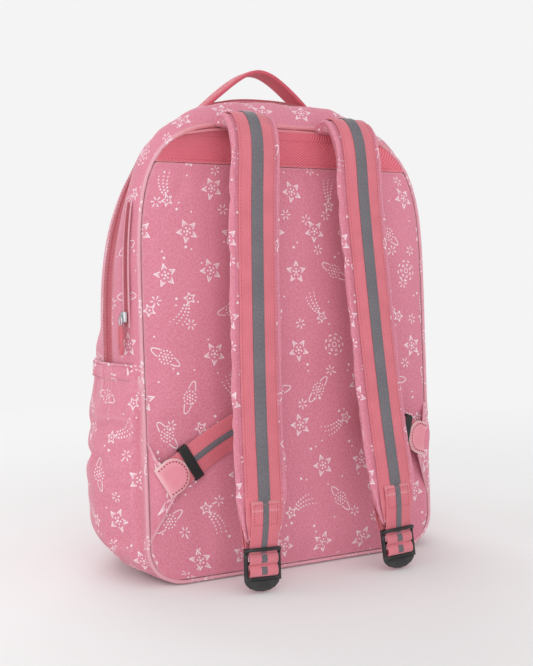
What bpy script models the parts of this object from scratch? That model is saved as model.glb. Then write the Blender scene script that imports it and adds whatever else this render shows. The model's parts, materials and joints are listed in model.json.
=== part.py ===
"""School backpack: an assembly of sewn panels, zips, padded straps and buckles.

Metres, +Z up. The bag stands on Z = 0 with its origin at the middle of the base.
The wearer's side with the straps faces -Y, the pockets face +Y, and -X is the left strap.
"""

import math

import bmesh
import bpy
from mathutils import Matrix, Vector

# Driving dimensions of the bag.
PANEL_HALF = 0.156
PANEL_TOP = 0.414
PANEL_Y = -0.095
PANEL_PILLOW = 0.0035
PANEL_LEAN = 0.048
ZIP_HALF = 0.167
ZIP_TOP = 0.444
ZIP_REAR_Y = -0.042
ZIP_FRONT_Y = -0.022
FRONT_HALF = 0.143
FRONT_TOP = 0.434
FRONT_Y = 0.045
FACE_DEPTH = 0.012
CORNER_RADIUS = 0.036
CORNER_GROWTH = 0.007
FOLD_Z = 0.190
BAND_BOTTOM = 0.380
SKIN = 0.0024
TAPE = 0.0012
GAP = 0.0005

# Straps, webbing and buckles.
STRAP_WIDTH = 0.056
STRAP_END_WIDTH = 0.032
STRAP_THICKNESS = 0.012
STRAP_X_TOP = 0.0545
STRAP_X_END = 0.0745
WEBBING_WIDTH = 0.038
WEBBING_THICKNESS = 0.0018
STRIPE_WIDTH = 0.0125
STRIPE_THICKNESS = 0.0008
TAB_WIDTH = 0.028
TAB_TOP_Z = 0.078
LOCK_WIDTH = 0.035
LOCK_LENGTH = 0.038
LOCK_LIP = 0.011
LOCK_THICKNESS = 0.0035
LOCK_EDGE = 0.0008

# Lower anchors: each side's height, the rise of its webbing and how far it stands off the panel.
ANCHOR_X = 0.144
ANCHOR = {
    "left": {"z": 0.094, "rise": math.radians(31), "flare": 0.0},
    "right": {"z": 0.110, "rise": math.radians(20), "flare": math.radians(16)},
}
ANCHOR_SEAM_X = 0.1495
ANCHOR_LIFT = 0.0058
PATCH_RADIUS = 0.0165
KEEPER_LENGTH = 0.0340
KEEPER_WIDTH = 0.0095
KEEPER_ALONG = 0.0325
KEEPER_LIFT = 0.0082

# Pockets and their zips.
LOWER_POCKET = {"half": 0.112, "low": 0.020, "high": 0.172, "depth": 0.040}
UPPER_POCKET = {"half": 0.094, "low": 0.214, "high": 0.352, "depth": 0.018}
POCKET_ZIP_DROP = 0.022
POCKET_ZIP_WIDTH = 0.012
SIDE_POCKET_TOP = 0.199
SIDE_POCKET_HEM = 0.015
SIDE_POCKET_BULGE = 0.0145
MAIN_ZIP_UPPER_Z = 0.290
MAIN_ZIP_LOWER_Z = 0.243
SIDE_ZIP_LOW = 0.232
SIDE_ZIP_HIGH = 0.342

# Carry handle.
HANDLE_Y = -0.003
HANDLE_X = 0.004
HANDLE_HALF_SPAN = 0.061
HANDLE_FOOT_Z = 0.4440
HANDLE_RISE = 0.0370
HANDLE_WIDTH = 0.029
HANDLE_FOOT_WIDTH = 0.016
HANDLE_ROUND = 0.42

BAG_CENTRE = Vector((0.0, -0.02, 0.2))
SIDES = {"left": -1, "right": 1}


# ---------------------------------------------------------------- scene and materials


def clear_scene():
    for obj in list(bpy.data.objects):
        bpy.data.objects.remove(obj)


def make_material(name, colour, roughness, metallic=0.0):
    material = bpy.data.materials.new(name)
    material.use_nodes = True
    shader = material.node_tree.nodes["Principled BSDF"]
    shader.inputs["Base Color"].default_value = (*colour, 1.0)
    shader.inputs["Roughness"].default_value = roughness
    shader.inputs["Metallic"].default_value = metallic
    return material


def make_materials():
    return {
        "print": make_material("printed_fabric", (0.64, 0.24, 0.31), 0.85),
        "coral": make_material("coral_fabric", (0.80, 0.19, 0.22), 0.8),
        "webbing": make_material("coral_webbing", (0.82, 0.20, 0.23), 0.75),
        "stripe": make_material("grey_stripe", (0.20, 0.20, 0.22), 0.45),
        "plastic": make_material("black_plastic", (0.015, 0.015, 0.017), 0.4),
        "patch": make_material("coral_leatherette", (0.84, 0.26, 0.29), 0.5),
        "lining": make_material("grey_lining", (0.30, 0.30, 0.33), 0.8),
        "foam": make_material("white_foam", (0.78, 0.78, 0.76), 0.9),
        "metal": make_material("zip_metal", (0.55, 0.55, 0.57), 0.3, 1.0),
    }


# ---------------------------------------------------------------- bodies and their pivots


def panel_y(z):
    """Depth of the leaning back panel at height z."""
    return PANEL_Y + PANEL_LEAN * z


def strap_root():
    return Vector((0.0, panel_y(PANEL_TOP) - 0.0045, PANEL_TOP + 0.0012))


def anchor_seam(word, side):
    z = ANCHOR[word]["z"]
    return Vector((side * ANCHOR_SEAM_X, panel_y(z) - ANCHOR_LIFT, z))


def make_pivots(pivots):
    """One empty per body, at its joint, parented in the order of the joints."""
    empties = {}
    for name, (parent, place) in pivots.items():
        empty = bpy.data.objects.new(name + "_pivot", None)
        empty.empty_display_size = 0.02
        bpy.context.scene.collection.objects.link(empty)
        if parent:
            empty.parent = empties[parent][0]
            empty.location = place - empties[parent][1]
        else:
            empty.location = place
        empties[name] = (empty, place)
    return empties


class Kit:
    """The assembly being built: its materials and the pivot that each body hangs from."""

    def __init__(self, materials, pivots):
        self.materials = materials
        self.bodies = make_pivots(pivots)

    def add(self, name, bm, material, body="bag", sharp=40):
        empty, place = self.bodies[body]
        mesh = bpy.data.meshes.new(name)
        bm.to_mesh(mesh)
        bm.free()
        mesh.transform(Matrix.Translation(-place))
        mesh.materials.append(self.materials[material])
        mesh.shade_smooth()
        mesh.set_sharp_from_angle(angle=math.radians(sharp))
        obj = bpy.data.objects.new(name, mesh)
        bpy.context.scene.collection.objects.link(obj)
        obj.parent = empty
        return obj


# ---------------------------------------------------------------- shape tools


def lerp(a, b, t):
    return a + (b - a) * t


def steps(low, high, count):
    """Evenly spaced values from low to high, both ends included."""
    return [lerp(low, high, i / (count - 1)) for i in range(count)]


def smooth_path(points, per_span=3):
    """Catmull-Rom curve through the points."""
    ends = [2 * points[0] - points[1], *points, 2 * points[-1] - points[-2]]
    path = []
    for i in range(1, len(ends) - 2):
        before, start, stop, after = ends[i - 1 : i + 3]
        for k in range(per_span):
            t = k / per_span
            bend = (2 * before - 5 * start + 4 * stop - after) * t**2
            twist = (3 * start - before - 3 * stop + after) * t**3
            path.append(0.5 * (2 * start + (stop - before) * t + bend + twist))
    path.append(ends[-2])
    return path


def faces_between(bm, low, high, closed):
    count = len(low) if closed else len(low) - 1
    for i in range(count):
        j = (i + 1) % len(low)
        bm.faces.new((low[i], low[j], high[j], high[i]))


def sheet(rows, closed=False, centre=False):
    """Open surface through rows of points, its faces turned away from the bag's middle."""
    bm = bmesh.new()
    verts = [[bm.verts.new(point) for point in row] for row in rows]
    for low, high in zip(verts, verts[1:]):
        faces_between(bm, low, high, closed)
    if centre:
        middle = sum((vert.co for vert in verts[-1]), Vector()) / len(verts[-1])
        hub = bm.verts.new(middle)
        for i, vert in enumerate(verts[-1]):
            bm.faces.new((vert, verts[-1][(i + 1) % len(verts[-1])], hub))
    turn_outward(bm)
    return bm


def turn_outward(bm):
    bm.normal_update()
    facing = sum(
        face.calc_area() * face.normal.dot(face.calc_center_median() - BAG_CENTRE)
        for face in bm.faces
    )
    if facing < 0:
        bmesh.ops.reverse_faces(bm, faces=bm.faces)


def cut_above(bm, z):
    cut(bm, z, False)


def cut_below(bm, z):
    cut(bm, z, True)


def cut(bm, z, keep_upper):
    """Cuts an open sheet at height z and keeps one side."""
    bmesh.ops.bisect_plane(
        bm,
        geom=bm.verts[:] + bm.edges[:] + bm.faces[:],
        dist=1e-6,
        plane_co=(0, 0, z),
        plane_no=(0, 0, 1),
        clear_inner=keep_upper,
        clear_outer=not keep_upper,
    )


def thicken(obj, thickness):
    """Gives a sheet its thickness, inward from its outer face."""
    solid = obj.modifiers.new("Thickness", "SOLIDIFY")
    solid.thickness = thickness
    solid.offset = -1
    return obj


def loft(rings, closed=False):
    """Solid through rings of points, capped at both ends unless it is a closed loop."""
    bm = bmesh.new()
    verts = [[bm.verts.new(point) for point in ring] for ring in rings]
    for low, high in zip(verts, verts[1:]):
        faces_between(bm, low, high, True)
    if closed:
        faces_between(bm, verts[-1], verts[0], True)
    else:
        bm.faces.new(verts[0])
        bm.faces.new(verts[-1])
    return face_outward(bm)


def face_outward(bm):
    bm.normal_update()
    bmesh.ops.recalc_face_normals(bm, faces=bm.faces)
    return bm


def plate(front, back):
    """Solid between two grids of points of the same size."""
    rings = [list(row) + list(reversed(other)) for row, other in zip(front, back)]
    return loft(rings)


def ribbon(path, across, widths, thicknesses, chamfer=0.3):
    """Solid strip along a path. across is its width direction at each point."""
    rings = []
    for i, point in enumerate(path):
        ahead = path[min(i + 1, len(path) - 1)] - path[max(i - 1, 0)]
        side = (across[i] - across[i].project(ahead)).normalized()
        normal = ahead.cross(side).normalized()
        half, deep = widths[i] / 2, thicknesses[i] / 2
        edge = chamfer * thicknesses[i]
        profile = (
            (-half, -deep + edge), (-half, deep - edge),
            (-half + edge, deep), (half - edge, deep),
            (half, deep - edge), (half, -deep + edge),
            (half - edge, -deep), (-half + edge, -deep),
        )
        rings.append([point + side * x + normal * y for x, y in profile])
    return loft(rings)


def even_ribbon(path, across, width, thickness):
    count = len(path)
    return ribbon(path, [across] * count, [width] * count, [thickness] * count)


def block(size, matrix=None, bevel=0.0):
    """Box centred on its origin, with rounded edges, then moved by a matrix."""
    bm = bmesh.new()
    bmesh.ops.create_cube(bm, size=1.0)
    bmesh.ops.scale(bm, vec=size, verts=bm.verts)
    if bevel:
        bmesh.ops.bevel(bm, geom=bm.edges[:], offset=bevel, segments=2, affect="EDGES", profile=0.5)
    if matrix:
        bm.transform(matrix)
    return face_outward(bm)


def cut_out(kit, obj, name, bm, body):
    """Cuts a hidden block out of an object."""
    cutter = kit.add(name, bm, "plastic", body)
    cutter.hide_render = True
    cutter.display_type = "WIRE"
    hole = obj.modifiers.new(name, "BOOLEAN")
    hole.operation = "DIFFERENCE"
    hole.object = cutter


def frame_matrix(origin, x_axis, y_axis):
    """Matrix of a local frame whose Z is X cross Y."""
    x_axis = x_axis.normalized()
    z_axis = x_axis.cross(y_axis).normalized()
    y_axis = z_axis.cross(x_axis)
    matrix = Matrix((x_axis, y_axis, z_axis)).transposed().to_4x4()
    matrix.translation = origin
    return matrix


# ---------------------------------------------------------------- the bag's skin


def skin_shape(q):
    """Half width, top, roundness and shoulder height of the outline at depth q.

    q runs 0 to 1 over the rear gusset, 1 to 2 over the zip and 2 to 3 over the front gusset.
    """
    if q <= 1:
        puff = 4 * q * (1 - q)
        half = lerp(PANEL_HALF, ZIP_HALF, q) + 0.002 * puff
        top = lerp(PANEL_TOP, ZIP_TOP, q) + 0.005 * puff
        return half, top, lerp(4.2, 2.48, q), lerp(0.235, 0.229, q)
    if q <= 2:
        return ZIP_HALF, ZIP_TOP + 0.001 * (q - 1), 2.45, 0.229
    t = q - 2
    puff = 4 * t * (1 - t)
    half = lerp(ZIP_HALF, FRONT_HALF, t) + 0.005 * puff
    top = lerp(ZIP_TOP + 0.001, FRONT_TOP, t) + 0.004 * puff
    return half, top, 2.4, 0.228


def skin_depth(q, z):
    """Depth of the outline at q: the panel leans and the zip stands upright."""
    if q <= 1:
        return lerp(panel_y(z), ZIP_REAR_Y, q)
    if q <= 2:
        return lerp(ZIP_REAR_Y, ZIP_FRONT_Y, q - 1)
    return lerp(ZIP_FRONT_Y, FRONT_Y, q - 2)


def corner_radius(q):
    """Radius of the lower corners, which grows from the back panel to the front."""
    return CORNER_RADIUS + CORNER_GROWTH * q


def dome(half, top, power, shoulder, angle):
    """Point of the rounded top, from the shoulder at angle 0 to the crown at 90 degrees."""
    c, s = abs(math.cos(angle)), abs(math.sin(angle))
    reach = (c**power + s**power) ** (-1 / power)
    return half * reach * c, shoulder + (top - shoulder) * reach * s


def skin(v, q, inset=0.0):
    """Point of the skin. v runs 0 to 4 from the middle of the base, up one side, to the crown."""
    half, top, power, shoulder = skin_shape(q)
    half -= inset
    top -= inset
    side = -1 if v < 0 else 1
    v = abs(v)
    radius = corner_radius(q)
    if v <= 1:
        x, z = v * (half - radius), inset
    elif v <= 2:
        turn = (v - 1) * math.pi / 2
        x, z = half - radius + radius * math.sin(turn), inset + radius * (1 - math.cos(turn))
    elif v <= 3:
        x, z = half, lerp(inset + radius, shoulder, v - 2)
    else:
        x, z = dome(half, top, power, shoulder, (v - 3) * math.pi / 2)
    return Vector((side * x, skin_depth(q, z), z))


def side_v(z, q):
    """v of the straight side at height z."""
    radius = corner_radius(q)
    return 2 + (z - radius) / (skin_shape(q)[3] - radius)


def panel_half(z, margin):
    """Half width at height z of the back panel's outline, drawn in all round by a margin."""
    half, top, power, shoulder = skin_shape(0)
    if z < CORNER_RADIUS:
        drop = CORNER_RADIUS - z
        return half - CORNER_RADIUS + math.sqrt((CORNER_RADIUS - margin) ** 2 - drop**2)
    half -= margin
    if z < shoulder:
        return half
    share = (z - shoulder) / (top - margin - shoulder)
    return half * (1 - share**power) ** (1 / power)


def arch(q, low, sides=4, rounds=9):
    """Row of skin points from low on one side, over the crown, to low on the other side."""
    start = side_v(low, q)
    half_row = steps(start, 3, sides)[:-1] + steps(3, 4, rounds)
    return [skin(-v, q) for v in half_row] + [skin(v, q) for v in reversed(half_row[:-1])]


def outline(q, inset=0.0):
    """The whole outline at depth q as a closed ring."""
    half_row = [0.5, *steps(1, 2, 5), 2.5, *steps(3, 4, 9)[:-1]]
    right = [skin(v, q, inset) for v in half_row]
    left = [skin(-v, q, inset) for v in reversed(half_row)]
    return [skin(0, q, inset), *right, skin(4, q, inset), *left]


# ---------------------------------------------------------------- body of the bag


def panel_grid(low, high, margin, depth, pillow, columns=9, rows=8):
    """Grid over the back panel between two heights, depth behind its plane."""
    grid = []
    for turn in steps(0, math.pi, rows):
        z = lerp(low, high, (1 - math.cos(turn)) / 2)
        half = panel_half(z, margin)
        rise = math.sin(turn) ** 0.5
        row = []
        for k in steps(-1, 1, columns):
            y = panel_y(z) + depth - pillow * rise * (1 - k**4)
            row.append(Vector((k * half, y, z)))
        grid.append(row)
    return grid


def add_back(kit):
    front = panel_grid(0.0055, BAND_BOTTOM - GAP, 0.0045, 0.0, PANEL_PILLOW, rows=14)
    back = panel_grid(0.0055, BAND_BOTTOM - GAP, 0.0045, 0.006, 0.0, rows=14)
    kit.add("back_panel", plate(front, back), "print")

    front = panel_grid(0.024, BAND_BOTTOM - 0.012, 0.022, 0.0068, 0.0, columns=3, rows=5)
    back = panel_grid(0.024, BAND_BOTTOM - 0.012, 0.022, 0.0128, 0.0, columns=3, rows=5)
    kit.add("back_foam", plate(front, back), "foam")

    front = panel_grid(BAND_BOTTOM, PANEL_TOP - 0.0047, 0.0045, 0.0, 0.002, rows=9)
    back = panel_grid(BAND_BOTTOM, PANEL_TOP - 0.0047, 0.0045, 0.005, 0.0, rows=9)
    kit.add("yoke_band", plate(front, back), "coral")


def add_piping(kit):
    """Round piping in the seam between the back panel and the gusset."""
    curve = bpy.data.curves.new("panel_piping", "CURVE")
    curve.dimensions = "3D"
    spline = curve.splines.new("POLY")
    points = outline(0)
    spline.points.add(len(points) - 1)
    for slot, point in zip(spline.points, points):
        slot.co = (*(point + Vector((0, 0, 0.0022))), 1)
    spline.use_cyclic_u = True
    curve.bevel_depth = 0.0017
    curve.bevel_resolution = 1
    curve.materials.append(kit.materials["print"])
    obj = bpy.data.objects.new("panel_piping", curve)
    bpy.context.scene.collection.objects.link(obj)
    obj.parent = kit.bodies["bag"][0]


def add_gusset(kit):
    rows = [arch(q, FOLD_Z + GAP) for q in steps(0.06, 0.985, 5)]
    thicken(kit.add("rear_gusset", sheet(rows), "print"), SKIN)

    rear = [arch(q, FOLD_Z + GAP) for q in steps(1.0, 1.47, 2)]
    thicken(kit.add("main_zip_tape_rear", sheet(rear), "coral"), TAPE)
    front = [arch(q, FOLD_Z + GAP) for q in steps(1.53, 2.0, 2)]
    thicken(kit.add("main_zip_tape_front", sheet(front), "coral", "front_flap"), TAPE)


def add_base_and_sides(kit):
    depths = [0.06, 0.5, 1.0, 2.0, 2.5, 2.975]
    rows = [[skin(v, q) for v in steps(-1.24, 1.24, 9)] for q in depths]
    thicken(kit.add("base_panel", sheet(rows), "print"), SKIN)

    for word, side in SIDES.items():
        rows = []
        for q in depths:
            heights = steps(2, side_v(FOLD_Z - GAP, q), 5)
            rows.append([skin(side * v, q) for v in steps(1.27, 2, 4)[:-1] + heights])
        thicken(kit.add(word + "_side_wall", sheet(rows), "print"), SKIN)

    board = Matrix.Translation((0, -0.024, 0.0038))
    kit.add("base_board", block((0.168, 0.112, 0.0016), board, 0.0004), "foam")


def add_sleeve(kit):
    """Padded sleeve behind the back panel, open at its top, with a bound edge."""
    front = panel_grid(0.0260, 0.290, 0.024, 0.0150, 0.0, columns=3, rows=4)
    back = panel_grid(0.0260, 0.290, 0.024, 0.0180, 0.0, columns=3, rows=4)
    kit.add("laptop_sleeve", plate(front, back), "lining")
    half = PANEL_HALF - 0.024
    path = [Vector((x, panel_y(0.2965) + 0.0165, 0.2965)) for x in (-half, 0, half)]
    kit.add("sleeve_binding", even_ribbon(path, Vector((0, 0, 1)), 0.012, 0.004), "coral")


def face_rings(first):
    """Rings of the front shell: its gusset part, then the rounded face that closes it."""
    rings = [outline(q) for q in first]
    rim = outline(3)
    middle = Vector((0, FRONT_Y, 0.215))
    for shrink, share in ((0.04, 0.62), (0.10, 0.92), (0.2, 1.0), (0.55, 1.0)):
        ring = [point.lerp(middle, shrink) for point in rim]
        rings.append([Vector((p.x, FRONT_Y + FACE_DEPTH * share, p.z)) for p in ring])
    return rings


def add_front(kit):
    upper = sheet(face_rings([2.03, 2.35, 2.7, 3.0]), closed=True, centre=True)
    cut_below(upper, FOLD_Z + GAP)
    thicken(kit.add("front_upper_shell", upper, "print", "front_flap"), SKIN)

    lower = sheet(face_rings([2.99, 3.0]), closed=True, centre=True)
    cut_above(lower, FOLD_Z - GAP)
    thicken(kit.add("front_lower_shell", lower, "print"), SKIN)


# ---------------------------------------------------------------- pockets


def rounded_ring(half, low, high, y, radius, corner_steps=3):
    """Rounded rectangle in the plane of the front face, as a closed ring."""
    corners = (
        (half - radius, low + radius, -90), (half - radius, high - radius, 0),
        (radius - half, high - radius, 90), (radius - half, low + radius, 180),
    )
    ring = []
    for x, z, start in corners:
        for turn in steps(start, start + 90, corner_steps):
            angle = math.radians(turn)
            ring.append(Vector((x + radius * math.cos(angle), y, z + radius * math.sin(angle))))
    return ring


def add_front_pocket(kit, name, size, body):
    """Box pocket on the front face, with a zip across it."""
    rear = FRONT_Y + FACE_DEPTH + 0.0006
    face = rear + size["depth"]
    profile = ((0.0, rear), (0.0, lerp(rear, face, 0.7)), (0.006, lerp(rear, face, 0.93)), (0.016, face))
    rings = [
        rounded_ring(size["half"] - inset, size["low"] + inset, size["high"] - inset, y, 0.024)
        for inset, y in profile
    ]
    thicken(kit.add(name, sheet(rings, closed=True, centre=True), "print", body), SKIN)

    z = size["high"] - POCKET_ZIP_DROP
    half = size["half"] - 0.020
    path = [Vector((x, face + 0.0009, z)) for x in (-half, 0, half)]
    tape = even_ribbon(path, Vector((0, 0, 1)), POCKET_ZIP_WIDTH, TAPE)
    kit.add(name + "_zip", tape, "coral", body)


def side_pocket_point(side, along, z, top):
    """Point of a side pocket: it bellies out in the middle and meets the wall at its edges."""
    q = lerp(0.16, 2.86, along)
    radius = corner_radius(q)
    if z < radius:
        base = skin(side * (1 + math.acos(1 - z / radius) / (math.pi / 2)), q)
    else:
        base = skin(side * side_v(z, q), q)
    belly = math.sin(math.pi * along) ** 0.7
    rise = math.sin(math.pi * min(1, z / top)) ** 1.3
    out = 0.0010 + SIDE_POCKET_BULGE * belly * rise
    return base + Vector((side * out, 0, 0))


def add_side_pocket(kit, word, side):
    hem_low = SIDE_POCKET_TOP - SIDE_POCKET_HEM
    stations = steps(0, 1, 11)
    heights = [0.012, 0.022, 0.036, 0.065, 0.10, 0.14, hem_low - GAP]
    rows = [
        [side_pocket_point(side, along, z, SIDE_POCKET_TOP) for along in stations] for z in heights
    ]
    pocket = thicken(kit.add(word + "_side_pocket", sheet(rows), "print"), 0.0016)
    pocket.modifiers["Thickness"].offset = 1
    rows = [
        [side_pocket_point(side, along, z, SIDE_POCKET_TOP) for along in stations]
        for z in (hem_low, SIDE_POCKET_TOP)
    ]
    hem = thicken(kit.add(word + "_pocket_hem", sheet(rows), "print"), 0.0020)
    hem.modifiers["Thickness"].offset = 1


def add_side_zip(kit):
    """Short zip in the left gusset beside the back panel."""
    rows = []
    for z in steps(SIDE_ZIP_LOW, SIDE_ZIP_HIGH, 6):
        row = []
        for q in (0.26, 0.40):
            shoulder = skin_shape(q)[3]
            if z < shoulder:
                point = skin(-side_v(z, q), q)
            else:
                point = skin(-dome_v(z, q), q)
            row.append(point + Vector((-0.0018, 0, 0)))
        rows.append(row)
    thicken(kit.add("side_zip_tape", sheet(rows), "coral"), 0.0012)


def dome_v(z, q):
    """v of the rounded top at height z, found by halving."""
    low, high = 3.0, 4.0
    for _ in range(40):
        middle = (low + high) / 2
        if skin(middle, q).z < z:
            low = middle
        else:
            high = middle
    return low


# ---------------------------------------------------------------- zip sliders and pullers


def add_slider(kit, name, place, travel, outward, body):
    """Slider body standing on a zip: a small block with a bridge for the puller."""
    matrix = frame_matrix(place + outward * 0.0030, travel, outward)
    kit.add(name, block((0.0100, 0.0036, 0.0080), matrix, 0.0010), "metal", body)


def add_puller(kit, name, place, hang, outward, body):
    """Flat puller tab that hangs from its slider."""
    across = hang.cross(outward)
    path = [place + outward * 0.0062 + hang * along for along in (0.0, 0.010, 0.034)]
    widths = [0.0050, 0.0060, 0.0085]
    kit.add(name, ribbon(path, [across] * 3, widths, [0.0020] * 3), "plastic", body)


def zip_places():
    """Place, travel direction, outward direction and hanging direction of each slider."""
    side_z = SIDE_ZIP_LOW + 0.010
    side_point = skin(-dome_v(side_z, 0.33), 0.33)
    main = {}
    for name, z in (("main_zip_upper", MAIN_ZIP_UPPER_Z), ("main_zip_lower", MAIN_ZIP_LOWER_Z)):
        main[name] = skin(dome_v(z, 1.5), 1.5)
    up, right, front = Vector((0, 0, 1)), Vector((1, 0, 0)), Vector((0, 1, 0))
    face = FRONT_Y + FACE_DEPTH + 0.0006
    lower = Vector((
        0.080, face + LOWER_POCKET["depth"] + 0.0016, LOWER_POCKET["high"] - POCKET_ZIP_DROP
    ))
    upper = Vector((
        0.062, face + UPPER_POCKET["depth"] + 0.0016, UPPER_POCKET["high"] - POCKET_ZIP_DROP
    ))
    return {
        "main_zip_upper": (main["main_zip_upper"], up, right, -up),
        "main_zip_lower": (main["main_zip_lower"], -up, right, -up),
        "lower_pocket_zip": (lower, right, front, -right),
        "upper_pocket_zip": (upper, right, front, -right),
        "side_zip": (side_point - right * 0.0020, up, -right, -up),
    }


# ---------------------------------------------------------------- carry handle


def add_handle(kit):
    """Arch of webbing over the top, with its two feet sewn to the front gusset."""
    path, widths = [], []
    foot = math.hypot(1, HANDLE_ROUND)
    for angle in steps(0, math.pi, 17):
        across = -math.cos(angle)
        rise = (foot - math.hypot(across, HANDLE_ROUND)) / (foot - HANDLE_ROUND)
        x = HANDLE_X + HANDLE_HALF_SPAN * across
        path.append(Vector((x, HANDLE_Y, HANDLE_FOOT_Z + HANDLE_RISE * rise)))
        widths.append(lerp(HANDLE_FOOT_WIDTH, HANDLE_WIDTH, min(1, rise / 0.25)))
    across = [Vector((0, 1, 0))] * len(path)
    handle = ribbon(path, across, widths, [0.0032] * len(path))
    kit.add("carry_handle", handle, "webbing", "carry_handle")


# ---------------------------------------------------------------- shoulder straps


def strap_path(side, offset=0.0):
    """Middle line of a shoulder strap, moved outward from the panel by offset."""
    shape = (
        (-0.0050, 0.4152), (-0.0130, 0.4190), (-0.0230, 0.4175), (-0.0310, 0.4070),
        (-0.0345, 0.388), (-0.0345, 0.350), (-0.0360, 0.300), (-0.0400, 0.220),
        (-0.0450, 0.150), (-0.0520, 0.087), (-0.0555, 0.0462),
    )
    points = []
    for out, z in shape:
        x = side * lerp(STRAP_X_TOP, STRAP_X_END, (PANEL_TOP - z) / PANEL_TOP)
        points.append(Vector((x, panel_y(z) + out, z)))
    path = smooth_path(points)
    if not offset:
        return path
    moved = []
    for i, point in enumerate(path):
        ahead = path[min(i + 1, len(path) - 1)] - path[max(i - 1, 0)]
        normal = ahead.cross(Vector((1, 0, 0))).normalized()
        moved.append(point + normal * offset)
    return moved


def strap_size(index, count, z):
    """Width and thickness of the pad at one point of its path."""
    taper = max(0.0, min(1.0, (0.092 - z) / 0.050))
    width = lerp(STRAP_WIDTH, STRAP_END_WIDTH, taper**1.5)
    start = min(1.0, index / 5)
    finish = min(1.0, (count - 1 - index) / 4)
    return width, STRAP_THICKNESS * lerp(0.45, 1.0, start) * lerp(0.62, 1.0, finish)


def strap_end(side):
    """Local frame at the strap's lower end: X along the strap, downward, and Z outward."""
    path = strap_path(side)
    along = (path[-1] - path[-2]).normalized()
    return frame_matrix(path[-1], along, along.cross(Vector((1, 0, 0))).cross(along))


def add_strap(kit, word, side):
    body = word + "_strap"
    path = strap_path(side)
    count = len(path)
    sizes = [strap_size(i, count, point.z) for i, point in enumerate(path)]
    across = [Vector((1, 0, 0))] * count
    widths = [size[0] for size in sizes]
    deep = [size[1] for size in sizes]
    pad = ribbon(path, across, widths, deep, chamfer=0.35)
    kit.add(word + "_strap_pad", pad, "print", body)

    first = 2
    last = max(i for i, point in enumerate(path) if point.z > TAB_TOP_Z)
    lift = STRAP_THICKNESS / 2 + GAP + WEBBING_THICKNESS / 2
    above = [strap_path(side, lift)[i] for i in range(first, last + 1)]
    webbing = even_ribbon(above, across[0], WEBBING_WIDTH, WEBBING_THICKNESS)
    kit.add(word + "_strap_webbing", webbing, "webbing", body)
    lift += WEBBING_THICKNESS / 2 + GAP + STRIPE_THICKNESS / 2
    above = [strap_path(side, lift)[i] for i in range(first, last + 1)]
    stripe = even_ribbon(above, across[0], STRIPE_WIDTH, STRIPE_THICKNESS)
    kit.add(word + "_strap_stripe", stripe, "stripe", body)


def turn(centre, radius, start, stop, count=5):
    """Arc of (along, out) pairs, in degrees."""
    angles = [math.radians(a) for a in steps(start, stop, count)]
    return [(centre[0] + radius * math.cos(a), centre[1] + radius * math.sin(a)) for a in angles]


def in_frame(matrix, pairs):
    return [matrix @ Vector((along, 0, out)) for along, out in pairs]


def lock_body(frame, start):
    """Flat frame of the lock, with rounded edges and a round lip at its lower end."""
    half, deep = LOCK_WIDTH / 2, LOCK_THICKNESS / 2
    rings = []
    for inset, out in ((LOCK_EDGE, -deep), (0, LOCK_EDGE - deep), (0, deep - LOCK_EDGE), (LOCK_EDGE, deep)):
        ring = [(start + inset, inset - half), (start + inset, half - inset)]
        for angle in steps(90, -90, 9):
            lip = (LOCK_LIP - inset) * math.cos(math.radians(angle))
            along = start + LOCK_LENGTH - LOCK_LIP + lip
            ring.append((along, (half - inset) * math.sin(math.radians(angle))))
        rings.append([frame @ Vector((along, across, out)) for along, across in ring])
    return loft(rings)


def add_strap_end(kit, word, side):
    """Tab that loops round the lock's top bar, the lock, and the webbing it grips."""
    frame = strap_end(side)
    across = frame.to_3x3() @ Vector((0, 1, 0))
    bar = (0.0090, 0.0)
    tab = [(-0.032, 0.0074), (-0.020, 0.0072), (-0.010, 0.0062), (0.002, 0.0042)]
    tab += turn(bar, 0.0036, 75, -75, 7) + [(0.004, -0.0042), (-0.004, -0.0060)]
    ribbon_path = in_frame(frame, tab)
    strap_tab = even_ribbon(ribbon_path, across, TAB_WIDTH, 0.0014)
    kit.add(word + "_strap_tab", strap_tab, "webbing", word + "_strap")

    body = word + "_lock"
    start = bar[0] - 0.0016
    lock = kit.add(word + "_ladder_lock", lock_body(frame, start), "plastic", body)
    for number, (low, high) in enumerate(((0.0030, 0.0118), (0.0146, 0.0262))):
        centre = frame @ Matrix.Translation((start + (low + high) / 2, 0, 0))
        window = block((high - low, LOCK_WIDTH - 0.0050, 0.02), centre)
        cut_out(kit, lock, f"{word}_lock_window_{number}", window, body)

    grip = start + 0.0132
    tail = [(-0.030, -0.0135), (-0.006, -0.0105), (grip - 0.002, -0.0062), (grip + 0.0030, -0.0046)]
    tail += turn((grip + 0.0010, 0.0), 0.0044, -35, 160, 7)
    tail += [(grip - 0.0034, -0.0012), (grip - 0.0022, -0.0032)]
    ribbon_path = in_frame(frame, tail)
    adjuster = even_ribbon(ribbon_path, across, TAB_WIDTH - 0.001, 0.0012)
    kit.add(word + "_adjuster_webbing", adjuster, "webbing", body)


# ---------------------------------------------------------------- lower anchors


def anchor_frame(word, side):
    """Local frame of a lower strap: X runs up and inward along the webbing, Z points outward.

    The anchor turns off the panel about its vertical seam by its flare.
    """
    rise, flare = ANCHOR[word]["rise"], ANCHOR[word]["flare"]
    inward = Vector((-side * math.cos(flare), -math.sin(flare), 0))
    outward = Vector((side * math.sin(flare), -math.cos(flare), PANEL_LEAN))
    along = inward * math.cos(rise) + Vector((0, PANEL_LEAN, 1)) * math.sin(rise)
    reach = ANCHOR_SEAM_X - ANCHOR_X
    origin = anchor_seam(word, side) + inward * reach - outward.normalized() * ANCHOR_LIFT
    frame = frame_matrix(origin, along, outward.cross(along))
    return frame @ Matrix.Scale(-1, 4, (0, 1, 0)) if side > 0 else frame


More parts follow.
